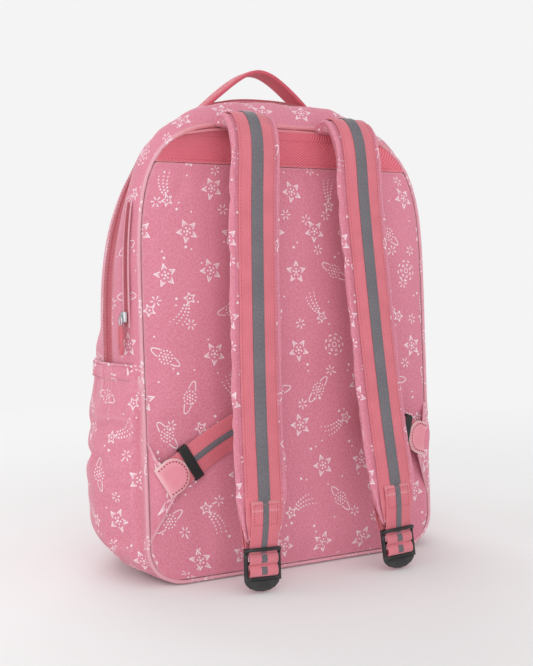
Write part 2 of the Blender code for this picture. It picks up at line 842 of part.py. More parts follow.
def add_anchor(kit, word, side):
    body = word + "_anchor"
    frame = anchor_frame(word, side)
    across = frame.to_3x3() @ Vector((0, 1, 0))
    outward = frame.to_3x3() @ Vector((0, 0, 1))

    seam = anchor_seam(word, side)
    tips = [frame @ Vector((0.004, y, ANCHOR_LIFT)) for y in (0.0150, -0.0150)]
    upper, lower = sorted(tips, key=lambda point: -point.z)
    corners = [
        seam + Vector((0, PANEL_LEAN, 1)) * 0.033, upper,
        lower, seam - Vector((0, PANEL_LEAN, 1)) * 0.050,
    ]
    faces = [[point + outward * side_out for point in corners] for side_out in (0.001, -0.001)]
    kit.add(word + "_anchor_tab", loft(faces), "print", body)

    webbing = [(0.006, 0.0079), (0.023, 0.0079), (0.026, KEEPER_LIFT), (0.062, KEEPER_LIFT)]
    webbing += [(0.074, 0.0100)]
    path = in_frame(frame, webbing)
    kit.add(word + "_lower_webbing", even_ribbon(path, across, 0.030, 0.0014), "webbing", body)

    edge = 180 - math.degrees(math.acos(0.0105 / PATCH_RADIUS))
    ring = turn((0.0100, 0), PATCH_RADIUS, -edge, edge, 12)
    faces = [[frame @ Vector((x, y, out)) for x, y in ring] for out in (0.0110, 0.0090)]
    kit.add(word + "_anchor_patch", loft(faces), "patch", body)

    keeper_body = word + "_keeper"
    place = frame @ Matrix.Translation((KEEPER_ALONG, 0, KEEPER_LIFT))
    size = (KEEPER_WIDTH, KEEPER_LENGTH, 0.0058)
    keeper = kit.add(word + "_strap_keeper", block(size, place, 0.0009), "plastic", keeper_body)
    slot = block((3 * KEEPER_WIDTH, KEEPER_LENGTH - 0.0036, 0.0030), place)
    cut_out(kit, keeper, word + "_keeper_slot", slot, keeper_body)


# ---------------------------------------------------------------- assembly


def body_pivots():
    """Each body with its parent and the point its joint turns or slides about."""
    pivots = {
        "bag": (None, Vector((0, 0, 0))),
        "front_flap": ("bag", Vector((0, FRONT_Y + FACE_DEPTH + 0.003, FOLD_Z))),
        "carry_handle": ("front_flap", Vector((HANDLE_X, HANDLE_Y, HANDLE_FOOT_Z))),
    }
    for word, side in SIDES.items():
        frame = anchor_frame(word, side)
        pivots[word + "_strap"] = ("bag", strap_root())
        pivots[word + "_lock"] = (word + "_strap", strap_end(side) @ Vector((0.0090, 0, 0)))
        pivots[word + "_anchor"] = ("bag", anchor_seam(word, side))
        pivots[word + "_keeper"] = (word + "_anchor", frame @ Vector((KEEPER_ALONG, 0, KEEPER_LIFT)))
    for name, (place, _, outward, _) in zip_places().items():
        holder = "front_flap" if name.startswith("upper") else "bag"
        pivots[name + "_slider"] = (holder, place)
        pivots[name + "_puller"] = (name + "_slider", place + outward * 0.0062)
    return pivots


def build():
    clear_scene()
    kit = Kit(make_materials(), body_pivots())
    add_back(kit)
    add_piping(kit)
    add_gusset(kit)
    add_base_and_sides(kit)
    add_sleeve(kit)
    add_front(kit)
    add_front_pocket(kit, "lower_pocket", LOWER_POCKET, "bag")
    add_front_pocket(kit, "upper_pocket", UPPER_POCKET, "front_flap")
    add_side_zip(kit)
    add_handle(kit)
    for word, side in SIDES.items():
        add_side_pocket(kit, word, side)
        add_strap(kit, word, side)
        add_strap_end(kit, word, side)
        add_anchor(kit, word, side)
    for name, (place, travel, outward, hang) in zip_places().items():
        add_slider(kit, name + "_slider", place, travel, outward, name + "_slider")
        add_puller(kit, name + "_puller", place, hang, outward, name + "_puller")


build()
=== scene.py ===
"""Looks of the school backpack: cloth, webbing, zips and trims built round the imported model."""

import json
import math

import bmesh
import bpy
from mathutils import Matrix, Vector, noise


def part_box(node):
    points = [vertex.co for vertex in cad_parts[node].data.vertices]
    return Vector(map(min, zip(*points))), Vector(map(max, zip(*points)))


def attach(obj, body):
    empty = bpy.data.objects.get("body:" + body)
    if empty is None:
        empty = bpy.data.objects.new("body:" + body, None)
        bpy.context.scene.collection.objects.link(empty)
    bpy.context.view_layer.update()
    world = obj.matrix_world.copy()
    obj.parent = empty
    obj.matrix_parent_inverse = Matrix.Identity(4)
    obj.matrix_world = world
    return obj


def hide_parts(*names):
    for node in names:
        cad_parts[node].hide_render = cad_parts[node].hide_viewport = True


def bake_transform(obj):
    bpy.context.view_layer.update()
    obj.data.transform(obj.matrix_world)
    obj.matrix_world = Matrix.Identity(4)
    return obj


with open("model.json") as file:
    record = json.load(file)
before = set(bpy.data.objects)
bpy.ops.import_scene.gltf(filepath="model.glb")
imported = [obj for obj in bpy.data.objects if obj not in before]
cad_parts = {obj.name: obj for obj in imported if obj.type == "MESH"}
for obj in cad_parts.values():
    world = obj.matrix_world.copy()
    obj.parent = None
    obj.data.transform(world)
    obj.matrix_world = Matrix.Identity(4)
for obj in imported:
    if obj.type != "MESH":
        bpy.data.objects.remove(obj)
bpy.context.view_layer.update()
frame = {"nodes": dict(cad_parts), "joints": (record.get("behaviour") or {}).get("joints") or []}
JOINTS = {joint["name"]: joint for joint in frame["joints"]}
SIDES = {"left": -1, "right": 1}
X, Y, Z = Vector((1, 0, 0)), Vector((0, 1, 0)), Vector((0, 0, 1))

# ---------------------------------------------------------------- shape of the bag, from the frame

PIPE = 0.0017
PANEL_LEAN = 0.048
BAND_LOW, BAND_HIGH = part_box("yoke_band")
PIPING_LOW, PIPING_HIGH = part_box("panel_piping")
REAR_TAPE, FRONT_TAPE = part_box("main_zip_tape_rear"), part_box("main_zip_tape_front")
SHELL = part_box("front_lower_shell")

PANEL_HALF = PIPING_HIGH.x - PIPE
CROWN_LIFT = 0.0045
PANEL_TOP = PIPING_HIGH.z - PIPE - 0.0022 + CROWN_LIFT
PANEL_Y = PIPING_LOW.y + PIPE
ZIP_HALF = REAR_TAPE[1].x
ZIP_TOP = REAR_TAPE[1].z
ZIP_REAR_Y, ZIP_FRONT_Y = REAR_TAPE[0].y, FRONT_TAPE[1].y
FACE_DEPTH = 0.012
FRONT_Y = SHELL[1].y - FACE_DEPTH
FRONT_HALF = 0.143
FRONT_TOP = ZIP_TOP - 0.010
FOLD_Z = SHELL[1].z + 0.0005
CORNER_RADIUS, CORNER_GROWTH = 0.036, 0.007
POCKET_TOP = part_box("left_pocket_hem")[1].z
HEM_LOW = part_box("left_pocket_hem")[0].z
POCKET_BULGE = 0.0145
MIDDLE_HEIGHT = 0.2
BAG_CENTRE = Vector((0, -0.02, MIDDLE_HEIGHT))
CLOTH = 0.0016


def lerp(a, b, t):
    return a + (b - a) * t


def steps(low, high, count):
    return [lerp(low, high, i / (count - 1)) for i in range(count)]


def clamp(value, low=0.0, high=1.0):
    return max(low, min(high, value))


def soft(t):
    t = clamp(t)
    return t * t * (3 - 2 * t)


def panel_y(z):
    return PANEL_Y + PANEL_LEAN * z


def skin_shape(q):
    """Half width, top, roundness and shoulder height of the outline at depth q, as in the CAD."""
    if q <= 1:
        puff = 4 * q * (1 - q)
        half = lerp(PANEL_HALF, ZIP_HALF, q) + 0.002 * puff
        top = lerp(PANEL_TOP, ZIP_TOP, q) + 0.005 * puff
        return half, top, lerp(4.2, 2.48, q), lerp(0.235, 0.229, q)
    if q <= 2:
        return ZIP_HALF, ZIP_TOP + 0.001 * (q - 1), 2.45, 0.229
    t = q - 2
    puff = 4 * t * (1 - t)
    half = lerp(ZIP_HALF, FRONT_HALF, t) + 0.005 * puff
    top = lerp(ZIP_TOP + 0.001, FRONT_TOP, t) + 0.004 * puff
    return half, top, 2.4, 0.228


def skin_depth(q, z):
    if q <= 1:
        return lerp(panel_y(z), ZIP_REAR_Y, q)
    if q <= 2:
        return lerp(ZIP_REAR_Y, ZIP_FRONT_Y, q - 1)
    return lerp(ZIP_FRONT_Y, FRONT_Y, q - 2)


def corner_radius(q):
    return CORNER_RADIUS + CORNER_GROWTH * q


def skin(v, q):
    """Point of the skin. v runs 0 to 4 from the middle of the base, up one side, to the crown."""
    half, top, power, shoulder = skin_shape(q)
    side, v, radius = (-1 if v < 0 else 1), abs(v), corner_radius(q)
    if v <= 1:
        x, z = v * (half - radius), 0.0
    elif v <= 2:
        turn = (v - 1) * math.pi / 2
        x, z = half - radius + radius * math.sin(turn), radius * (1 - math.cos(turn))
    elif v <= 3:
        x, z = half, lerp(radius, shoulder, v - 2)
    else:
        c, s = abs(math.cos((v - 3) * math.pi / 2)), abs(math.sin((v - 3) * math.pi / 2))
        reach = (c**power + s**power) ** (-1 / power)
        x, z = half * reach * c, shoulder + (top - shoulder) * reach * s
    return Vector((side * x, skin_depth(q, z), z))


def v_at(z, q):
    """v of the skin at height z, above the lower corner."""
    low, high = 1.0, 4.0
    for _ in range(30):
        middle = (low + high) / 2
        low, high = (middle, high) if skin(middle, q).z < z else (low, middle)
    return low


def panel_half(z, margin):
    """Half width of the back panel's outline at height z, drawn in by a margin."""
    half, top, power, shoulder = skin_shape(0)
    if z < CORNER_RADIUS:
        drop = CORNER_RADIUS - z
        return half - CORNER_RADIUS + math.sqrt(max(0, (CORNER_RADIUS - margin) ** 2 - drop**2))
    if z < shoulder:
        return half - margin
    share = clamp((z - shoulder) / (top - margin - shoulder))
    return (half - margin) * (1 - share**power) ** (1 / power)


# ---------------------------------------------------------------- shader nodes as arithmetic


class Num:
    """A number that flows between shader nodes, used in ordinary arithmetic."""

    def __init__(self, net, socket):
        self.net, self.socket = net, socket

    def math(self, operation, *others):
        return self.net.math(operation, self, *others)


def shader_operation(operation):
    return lambda value, *others: value.math(operation, *others)


for method, operation in (
    ("__add__", "ADD"), ("__sub__", "SUBTRACT"), ("__mul__", "MULTIPLY"), ("__truediv__", "DIVIDE"),
    ("abs", "ABSOLUTE"), ("fract", "FRACT"), ("floor", "FLOOR"), ("sin", "SINE"), ("cos", "COSINE"),
    ("min", "MINIMUM"), ("max", "MAXIMUM"), ("below", "LESS_THAN"), ("above", "GREATER_THAN"),
):
    setattr(Num, method, shader_operation(operation))


def length(x, y):
    return (x * x + y * y).math("SQRT")


class Net:
    """The node tree of one material."""

    def __init__(self, name):
        self.material = bpy.data.materials.new(name)
        self.material.use_nodes = True
        self.tree = self.material.node_tree
        self.shader = self.tree.nodes["Principled BSDF"]

    def node(self, kind, **settings):
        node = self.tree.nodes.new(kind)
        for key, value in settings.items():
            setattr(node, key, value)
        return node

    def feed(self, socket, value):
        if isinstance(value, Num):
            self.tree.links.new(value.socket, socket)
        else:
            socket.default_value = value

    def math(self, operation, *values):
        node = self.node("ShaderNodeMath", operation=operation)
        for socket, value in zip(node.inputs, values):
            self.feed(socket, value)
        return Num(self, node.outputs[0])

    def uv(self):
        """Cloth coordinates in metres."""
        parts = self.node("ShaderNodeSeparateXYZ")
        self.tree.links.new(self.node("ShaderNodeTexCoord").outputs["UV"], parts.inputs[0])
        return Num(self, parts.outputs[0]), Num(self, parts.outputs[1])

    def point(self, x, y, z=0.0):
        node = self.node("ShaderNodeCombineXYZ")
        for socket, value in zip(node.inputs, (x, y, z)):
            self.feed(socket, value)
        return Num(self, node.outputs[0])

    def noise(self, scale, detail=3.0, vector=None, roughness=0.5):
        node = self.node("ShaderNodeTexNoise")
        node.inputs["Scale"].default_value = scale
        node.inputs["Detail"].default_value = detail
        node.inputs["Roughness"].default_value = roughness
        source = vector or Num(self, self.node("ShaderNodeTexCoord").outputs["Object"])
        self.feed(node.inputs["Vector"], source)
        return Num(self, node.outputs["Fac"])

    def mix(self, share, first, second):
        """Colour between two colours or coloured values."""
        node = self.node("ShaderNodeMix", data_type="RGBA", clamp_factor=True)
        self.feed(node.inputs[0], share)
        for socket, value in ((node.inputs[6], first), (node.inputs[7], second)):
            self.feed(socket, value if isinstance(value, Num) else (*value, 1.0))
        return Num(self, node.outputs[2])

    def edge_wear_and_crease_shade(self, colour, amount):
        """Lightens the colour along convex edges as wear, and darkens it in the creases as painted shade.
        """
        pointed = Num(self, self.node("ShaderNodeNewGeometry").outputs["Pointiness"])
        edge = ((pointed - 0.51) * 12).max(0.0).min(1.0) * amount
        # painted shade: concave creases (low pointiness) darkened toward deep red
        crease = ((pointed * -1.0 + 0.49) * 14).max(0.0).min(1.0) * amount
        pale = self.mix(edge, colour, (0.93, 0.80, 0.82))
        return self.mix(crease, pale, (0.33, 0.07, 0.11))

    def finish(self, colour, roughness, height=None, depth=0.0003, sheen=0.0, metallic=0.0):
        self.feed(self.shader.inputs["Base Color"], colour)
        self.feed(self.shader.inputs["Roughness"], roughness)
        self.shader.inputs["Metallic"].default_value = metallic
        self.shader.inputs["Sheen Weight"].default_value = sheen
        self.shader.inputs["Sheen Roughness"].default_value = 0.45
        if height is not None:
            bump = self.node("ShaderNodeBump")
            bump.inputs["Distance"].default_value = depth
            bump.inputs["Strength"].default_value = 0.9
            self.feed(bump.inputs["Height"], height)
            self.tree.links.new(bump.outputs[0], self.shader.inputs["Normal"])
        return self.material


# ---------------------------------------------------------------- the printed cloth

INK_SOFT = 0.00035
MOTIF_PITCH = (0.045, 0.037)


def ink(distance, half_width):
    """1 on a drawn line or dot, 0 off it, from the distance to its middle."""
    return ((distance * -1.0 + half_width) / INK_SOFT + 0.5).max(0.0).min(1.0)


def segment(x, y, start, stop):
    """Distance to a straight stroke."""
    dx, dy = stop[0] - start[0], stop[1] - start[1]
    px, py = x - start[0], y - start[1]
    along = ((px * dx + py * dy) / (dx * dx + dy * dy)).max(0.0).min(1.0)
    return length(px - along * dx, py - along * dy)


def sector(x, y, count):
    """Folds the plane into one of count equal sectors whose middle is +X."""
    step = 2 * math.pi / count
    angle = ((y.math("ARCTAN2", x) / step + 0.5).fract() - 0.5).abs() * step
    reach = length(x, y)
    return reach * angle.cos(), reach * angle.sin()


def star(x, y, size):
    """Five open arms round a ring of dots."""
    a, b = sector(x, y, 5)
    arm = ink(segment(a, b, (size, 0), (0.54 * size, 0.215 * size)), 0.00048)
    vein = ink(segment(a, b, (0.58 * size, 0), (0.78 * size, 0)), 0.00036)
    dots = ink(length(a - 0.29 * size, b), 0.00082).max(ink(length(a, b), 0.0011))
    return arm.max(vein).max(dots)


def asterisk(x, y, size):
    a, b = sector(x, y, 6)
    return ink(segment(a, b, (0.42 * size, 0), (0.92 * size, 0)), a * 0.11 + 0.00010)


def planet(x, y, size):
    """Disc filled with rings of dots, and a solid ring that passes behind it."""
    reach = length(x, y)
    a, b = sector(x, y, 6)
    inner = ink(length(a - 0.24 * size, b), 0.00072).max(ink(reach, 0.00085))
    c, d = sector(x, y, 12)
    outer = ink(length(c - 0.50 * size, d), 0.00072)
    wide, high = 1.22 * size, 0.34 * size
    lean = y + x * 0.30
    ring_x, ring_y = x / wide, lean / high
    around = length(ring_x, ring_y)
    slope = length(ring_x / wide, ring_y / high)
    from_ring = (around - 1.0).abs() * around / slope
    clear = (reach - 0.66 * size).above(0.0)
    return inner.max(outer).max(ink(from_ring, 0.00042) * clear)


def comet(x, y, size):
    """Small four-armed star with three bent tails of dots."""
    head_x = x + 0.70 * size
    a, b = sector(head_x, y, 5)
    head = ink(segment(a, b, (0.34 * size, 0), (0.16 * size, 0.075 * size)), 0.00044)
    head = head.max(ink(length(a, b), 0.0009))
    bent = y + x * x * (0.34 / size)
    spread = (x + 0.36 * size) * 0.17 + 0.13 * size
    lane = (bent / spread).math("ROUND").max(-1.0).min(1.0)
    step = 0.19 * size
    dot = length((((x + lane * 0.0010) / step).fract() - 0.5) * step, bent - lane * spread)
    reach = (x + 0.34 * size).above(0.0) * x.below(0.96 * size)
    return head.max(ink(dot, x * -0.018 + 0.00082) * reach)


def moon(x, y, size):
    """Dashed circle round a middle crater and a ring of seven small ones."""
    reach = length(x, y)
    dashes = (y.math("ARCTAN2", x) * 9.0).sin() * 0.00055 + 0.00018
    rim = ink((reach - 0.92 * size).abs(), dashes)
    middle = ink((reach - 0.20 * size).abs(), 0.00036)
    a, b = sector(x, y, 7)
    crater = length(a - 0.55 * size, b)
    return rim.max(middle).max(ink((crater - 0.09 * size).abs(), 0.00034))


def cell(net, u, v, pitch, seed, wander):
    """Brick layout: local coordinates in one turned cell, and that cell's random numbers."""
    row = (v / pitch[1]).floor()
    shifted = u / pitch[0] + (row * 0.5).fract()
    random = net.node("ShaderNodeTexWhiteNoise", noise_dimensions="3D")
    net.feed(random.inputs["Vector"], net.point(shifted.floor() + 0.5, row + 0.5, seed))
    parts = net.node("ShaderNodeSeparateColor")
    net.tree.links.new(random.outputs["Color"], parts.inputs[0])
    value = Num(net, random.outputs["Value"])
    first, second, third = (Num(net, parts.outputs[i]) for i in range(3))
    x = (shifted.fract() - 0.5 + (first - 0.5) * wander) * pitch[0]
    y = ((v / pitch[1]).fract() - 0.5 + (second - 0.5) * wander) * pitch[1]
    angle = third * 6.283
    turned_x = x * angle.cos() + y * angle.sin()
    turned_y = y * angle.cos() - x * angle.sin()
    return turned_x, turned_y, value


def chosen(value, low, high):
    return value.above(low) * value.below(high)


def print_ink(net, u, v):
    """White drawing of the printed cloth: stars, planets, comets, moons and dots."""
    x, y, kind = cell(net, u, v, MOTIF_PITCH, 3.1, 0.16)
    drawn = star(x, y, 0.0105) * chosen(kind, -1.0, 0.40)
    drawn = drawn.max(planet(x, y, 0.0118) * chosen(kind, 0.40, 0.62))
    drawn = drawn.max(comet(x, y, 0.0165) * chosen(kind, 0.62, 0.84))
    drawn = drawn.max(moon(x, y, 0.0108) * chosen(kind, 0.84, 2.0))
    half = (MOTIF_PITCH[0] / 2, MOTIF_PITCH[1])
    a, b, small = cell(net, u + half[0] / 2, v + MOTIF_PITCH[1] / 2, half, 7.7, 0.45)
    drawn = drawn.max(asterisk(a, b, 0.0048) * chosen(small, -1.0, 0.26))
    drawn = drawn.max(ink(length(a, b), 0.0012) * chosen(small, 0.30, 0.56))
    return drawn.max(ink(length(a - 0.006, b), 0.0008) * chosen(small, 0.20, 0.92))


def printed_cloth(name, drawn):
    net = Net(name)
    u, v = net.uv()
    threads = net.noise(900, 1.0, net.point(u * 0.35, v))
    cross = net.noise(900, 1.0, net.point(u, v * 0.35, 4.0))
    grain = threads + cross
    clouds = net.noise(7.0, 4.0)
    base = net.mix(clouds, (0.570, 0.152, 0.224), (0.675, 0.212, 0.298))
    base = net.mix((grain - 0.78) * 0.8, base, (0.76, 0.37, 0.45))
    base = net.edge_wear_and_crease_shade(base, 0.35)
    faded = net.noise(60.0, 3.0) * 0.22 + 0.80
    colour = net.mix(print_ink(net, u, v) * faded, base, (0.86, 0.76, 0.81)) if drawn else base
    creases = net.noise(26.0, 3.0)
    return net.finish(colour, 0.80, grain * 0.12 + creases, 0.0008, sheen=0.18)


# ---------------------------------------------------------------- the other materials


def woven(name, dark, light, across, along, depth=0.0004, slant=0.0, sheen=0.2, roughness=0.7):
    """Webbing or tape: raised threads of the given pitches, across and along the strip."""
    net = Net(name)
    u, v = net.uv()
    column = (u / across).floor()
    weft = ((v + u * slant) / along + column * 0.5) * (2 * math.pi)
    warp = (u / across) * (2 * math.pi)
    threads = (weft.sin() * 0.5 + 0.5) * ((warp.cos() * -0.35) + 0.65)
    clouds = net.noise(55.0, 4.0)
    shade = threads * 0.65 + clouds * 0.5
    colour = net.edge_wear_and_crease_shade(net.mix(shade, dark, light), 0.3)
    fuzz = net.noise(1400.0, 1.0)
    return net.finish(colour, roughness, threads + fuzz * 0.3, depth, sheen=sheen)


def twill():
    net = Net("coral_twill")
    u, v = net.uv()
    rib = (((v * 0.9 - u * 0.62) / 0.0021) * (2 * math.pi)).sin() * 0.5 + 0.5
    broken = net.noise(700.0, 2.0, net.point(u, v * 0.6))
    clouds = net.noise(22.0, 3.0)
    colour = net.mix(rib * 0.55 + broken * 0.25 + clouds * 0.2, (0.55, 0.070, 0.112), (0.94, 0.235, 0.305))
    return net.finish(net.edge_wear_and_crease_shade(colour, 0.3), 0.75, rib + broken * 0.4, 0.0006, sheen=0.2)


def reflective():
    net = Net("reflective_weave")
    u, v = net.uv()
    beads = net.noise(850.0, 2.0, net.point(u, v * 0.7))
    bands = net.noise(30.0, 3.0, net.point(u * 0.2, v))
    ribs = ((v / 0.0012) * (2 * math.pi)).sin() * 0.5 + 0.5
    colour = net.mix(beads * 0.9 + bands * 0.35 - 0.2, (0.050, 0.046, 0.055), (0.255, 0.235, 0.262))
    return net.finish(colour, 0.46, beads + ribs * 0.5, 0.0003, sheen=0.1)


def plastic(name, colour, roughness=0.36):
    net = Net(name)
    grain = net.noise(650.0, 3.0)
    scuffs = net.noise(40.0, 5.0)
    shade = net.mix(scuffs * 0.8, tuple(c * 0.7 for c in colour), tuple(c * 1.5 for c in colour))
    # painted highlight: convex edges (high pointiness) mixed a little toward pale grey
    pointed = Num(net, net.node("ShaderNodeNewGeometry").outputs["Pointiness"])
    edge = ((pointed - 0.54) * 7).max(0.0).min(0.05)
    shade = net.mix(edge, shade, (0.42, 0.42, 0.43))
    return net.finish(shade, scuffs * 0.22 + roughness - 0.08, grain, 0.00012)


def leatherette():
    net = Net("leatherette")
    pores = net.node("ShaderNodeTexVoronoi", feature="DISTANCE_TO_EDGE")
    pores.inputs["Scale"].default_value = 1300.0
    net.tree.links.new(net.node("ShaderNodeTexCoord").outputs["Object"], pores.inputs["Vector"])
    grain = Num(net, pores.outputs["Distance"])
    clouds = net.noise(60.0, 3.0)
    colour = net.edge_wear_and_crease_shade(net.mix(clouds, (0.70, 0.225, 0.285), (0.84, 0.315, 0.385)), 0.4)
    return net.finish(colour, clouds * 0.2 + 0.36, grain, 0.00018, sheen=0.05)


def cream_edge():
    net = Net("cream_edge")
    clouds = net.noise(240.0, 3.0)
    return net.finish(net.mix(clouds, (0.66, 0.45, 0.44), (0.86, 0.72, 0.68)), 0.7, clouds, 0.0002)


def thread(name, colour):
    net = Net(name)
    twist = net.noise(1500.0, 2.0)
    dark = tuple(c * 0.6 for c in colour)
    return net.finish(net.mix(twist, dark, colour), 0.6, twist, 0.0002, sheen=0.3)


def lining_cloth():
    net = Net("lining_cloth")
    u, v = net.uv()
    ribs = (((u + v) / 0.003) * (2 * math.pi)).sin() * (((u - v) / 0.003) * (2 * math.pi)).sin()
    clouds = net.noise(20.0, 4.0)
    colour = net.mix(clouds * 0.7 + ribs * 0.12, (0.20, 0.20, 0.22), (0.36, 0.36, 0.39))
    return net.finish(net.edge_wear_and_crease_shade(colour, 0.2), 0.6, ribs + clouds, 0.0003, sheen=0.2)


def metal():
    net = Net("slider_metal")
    brushed = net.noise(300.0, 3.0, net.point(net.uv()[0] * 0.1, net.uv()[1]))
    tarnish = net.noise(90.0, 4.0)
    colour = net.mix(tarnish, (0.36, 0.36, 0.38), (0.68, 0.68, 0.70))
    return net.finish(colour, brushed * 0.25 + 0.2, brushed, 0.0001, metallic=1.0)


CORAL_DARK, CORAL_LIGHT = (0.43, 0.034, 0.062), (0.84, 0.160, 0.224)
MATERIALS = {
    "print": printed_cloth("printed_cloth", True),
    "plain": printed_cloth("plain_cloth", False),
    "twill": twill(),
    "webbing": woven("coral_webbing", CORAL_DARK, CORAL_LIGHT, 0.0020, 0.0018, 0.00032),
    "tape": woven("zip_tape", (0.42, 0.055, 0.085), (0.72, 0.16, 0.22), 0.0012, 0.0011, 0.0002),
    "stripe": reflective(),
    "plastic": plastic("black_plastic", (0.0062, 0.0058, 0.0066), 0.44),
    "tab_plastic": plastic("coral_plastic", (0.60, 0.11, 0.15), 0.45),
    "teeth": plastic("zip_teeth", (0.46, 0.060, 0.095), 0.40),
    "leather": leatherette(),
    "cream": cream_edge(),
    "thread": thread("dark_red_thread", (0.40, 0.030, 0.060)),
    "pale_thread": thread("pink_thread", (0.66, 0.20, 0.28)),
    "coral_thread": thread("coral_thread", (0.66, 0.11, 0.16)),
    "lining": lining_cloth(),
    "metal": metal(),
}


# ---------------------------------------------------------------- mesh tools


def sheet(rows, uv, wrap=False):
    """Points, faces and cloth coordinates of a sheet. uv(i, j) is in metres."""
    count = len(rows[0])
    faces, coords = [], []
    for i in range(len(rows) - 1):
        for j in range(count if wrap else count - 1):
            k = (j + 1) % count
            faces.append((i * count + j, i * count + k, (i + 1) * count + k, (i + 1) * count + j))
            coords += [uv(i, j), uv(i, j + 1), uv(i + 1, j + 1), uv(i + 1, j)]
    return [point for row in rows for point in row], faces, coords


def capped(rings, uv):
    """Sheet wrapped round closed rings, with its first and last ring filled."""
    points, faces, coords = sheet(rings, uv, wrap=True)
    count = len(rings[0])
    for row in (0, len(rings) - 1):
        faces.append(tuple(row * count + k for k in range(count)))
        coords += [(0.0, 0.0)] * count
    return points, faces, coords


def looped(rows):
    """Sheet closed on itself in both directions, as a moulded loop is."""
    size, faces = len(rows[0]), []
    for i in range(len(rows)):
        for j in range(size):
            n, k = (j + 1) % size, (i + 1) % len(rows)
            faces.append((i * size + j, i * size + n, k * size + n, k * size + j))
    return [point for row in rows for point in row], faces, [(0.0, 0.0)] * (4 * len(faces))


def new_object(name, points, faces, coords, material):
    mesh = bpy.data.meshes.new(name)
    mesh.from_pydata([tuple(point) for point in points], [], faces)
    layer = mesh.uv_layers.new(name="UVMap")
    for slot, (u, v) in zip(layer.data, coords):
        slot.uv = (u, v)
    mesh.materials.append(MATERIALS[material])
    obj = bpy.data.objects.new(name, mesh)
    bpy.context.scene.collection.objects.link(obj)
    return obj


def edit(obj, change):
    bm = bmesh.new()
    bm.from_mesh(obj.data)
    bm.normal_update()
    change(bm)
    bm.to_mesh(obj.data)
    bm.free()
    obj.data.shade_smooth()


def away_from_middle(bm):
    facing = sum(f.calc_area() * f.normal.dot(f.calc_center_median() - BAG_CENTRE) for f in bm.faces)
    if facing < 0:
        bmesh.ops.reverse_faces(bm, faces=bm.faces)


def closed_outward(bm):
    bmesh.ops.recalc_face_normals(bm, faces=bm.faces)


def cloth_sheet(name, data, material="print", thickness=CLOTH, lining=True, offset=-1):
    """Sheet of cloth with a real thickness and, inside, the lining."""
    obj = new_object(name, *data, material)
    edit(obj, away_from_middle)
    if lining:
        obj.data.materials.append(MATERIALS["lining"])
    thick = obj.modifiers.new("Thickness", "SOLIDIFY")
    thick.thickness = thickness
    thick.offset = offset
    thick.material_offset = 1 if lining else 0
    return obj


def solid(name, data, material, sharp=50):
    obj = new_object(name, *data, material)
    edit(obj, closed_outward)
    obj.data.set_sharp_from_angle(angle=math.radians(sharp))
    return obj


def distances(path):
    total = [0.0]
    for a, b in zip(path, path[1:]):
        total.append(total[-1] + (b - a).length)
    return total


def even_points(path, pitch, closed=False):
    """(place, direction) at even steps along a path."""
    points = list(path) + ([path[0]] if closed else [])
    total = distances(points)
    count = max(1, int(total[-1] / pitch))
    found, i = [], 0
    for k in range(count):
        at = (k + 0.5) * total[-1] / count
        while i < len(points) - 2 and total[i + 1] < at:
            i += 1
        span = max(1e-9, total[i + 1] - total[i])
        t = (at - total[i]) / span
        found.append((points[i].lerp(points[i + 1], t), (points[i + 1] - points[i]).normalized()))
    return found


def sweep(path, across, profile, closed=False):
    """Solid that carries a profile along a path. profile(t) gives its (side, up) points at share t."""
    rings, lengths = [], distances(path)
    for i, point in enumerate(path):
        ahead = path[(i + 1) % len(path)] if closed else path[min(i + 1, len(path) - 1)]
        behind = path[i - 1] if closed else path[max(i - 1, 0)]
        direction = ahead - behind
        side = (across[i] - across[i].project(direction)).normalized()
        normal = direction.cross(side).normalized()
        shape = profile(i / max(1, len(path) - 1))
        rings.append([point + side * x + normal * y for x, y in shape])
    shape = profile(0.5)
    spread = [0.0]
    for (x0, y0), (x1, y1) in zip(shape, shape[1:] + shape[:1]):
        spread.append(spread[-1] + math.hypot(x1 - x0, y1 - y0))
    if closed:
        rings.append(rings[0])
    count = len(shape)
    rows = rings[:-1] if closed else rings
    points = [point for ring in rows for point in ring]
    faces, coords = [], []
    for i in range(len(rings) - 1):
        k = (i + 1) % len(rows)
        stretch = lengths[min(i, len(lengths) - 1)], lengths[min(i + 1, len(lengths) - 1)]
        for j in range(count):
            n = (j + 1) % count
            faces.append((i * count + j, i * count + n, k * count + n, k * count + j))
            coords += [(spread[j], stretch[0]), (spread[j + 1], stretch[0])]
            coords += [(spread[j + 1], stretch[1]), (spread[j], stretch[1])]
    if not closed:
        for row, at in ((0, lengths[0]), (len(rows) - 1, lengths[-1])):
            faces.append(tuple(row * count + j for j in range(count)))
            coords += [(spread[j], at) for j in range(count)]
    return points, faces, coords


EDGE_ROUNDING = 0.45


def strip_profile(width, thickness, corner=3):
    """Flat strip with rounded edges, starting at the middle of its upper face's left side."""
    half, deep = width / 2, thickness / 2
    radius = min(EDGE_ROUNDING * thickness, deep * 0.98)
    shape = []
    for x, y, start in (
        (half - radius, deep - radius, 90), (half - radius, radius - deep, 0),
        (radius - half, radius - deep, -90), (radius - half, deep - radius, -180),
    ):
        for turn in steps(start, start - 90, corner):
            angle = math.radians(turn)
            shape.append((x + radius * math.cos(angle), y + radius * math.sin(angle)))
    return shape


def strip(name, path, across, width, thickness, material):
    shape = strip_profile(width, thickness)
    data = sweep(path, [across] * len(path), lambda t: shape)
    return solid(name, data, material, 60)


def tube(name, path, radius, material, closed=False, sides=8):
    shape = [(radius * math.cos(a), radius * math.sin(a)) for a in steps(0, 2 * math.pi, sides + 1)[:-1]]
    across = []
    for i in range(len(path)):
        ahead = path[(i + 1) % len(path)] - path[i - 1 if closed else max(i - 1, 0)]
        across.append(Y if abs(ahead.normalized().dot(Y)) < 0.8 else X)
    return solid(name, sweep(path, across, lambda t: shape, closed), material, 80)


THREAD, FINE_THREAD, FINER_THREAD, THICK_THREAD = 0.00032, 0.00024, 0.00022, 0.00046


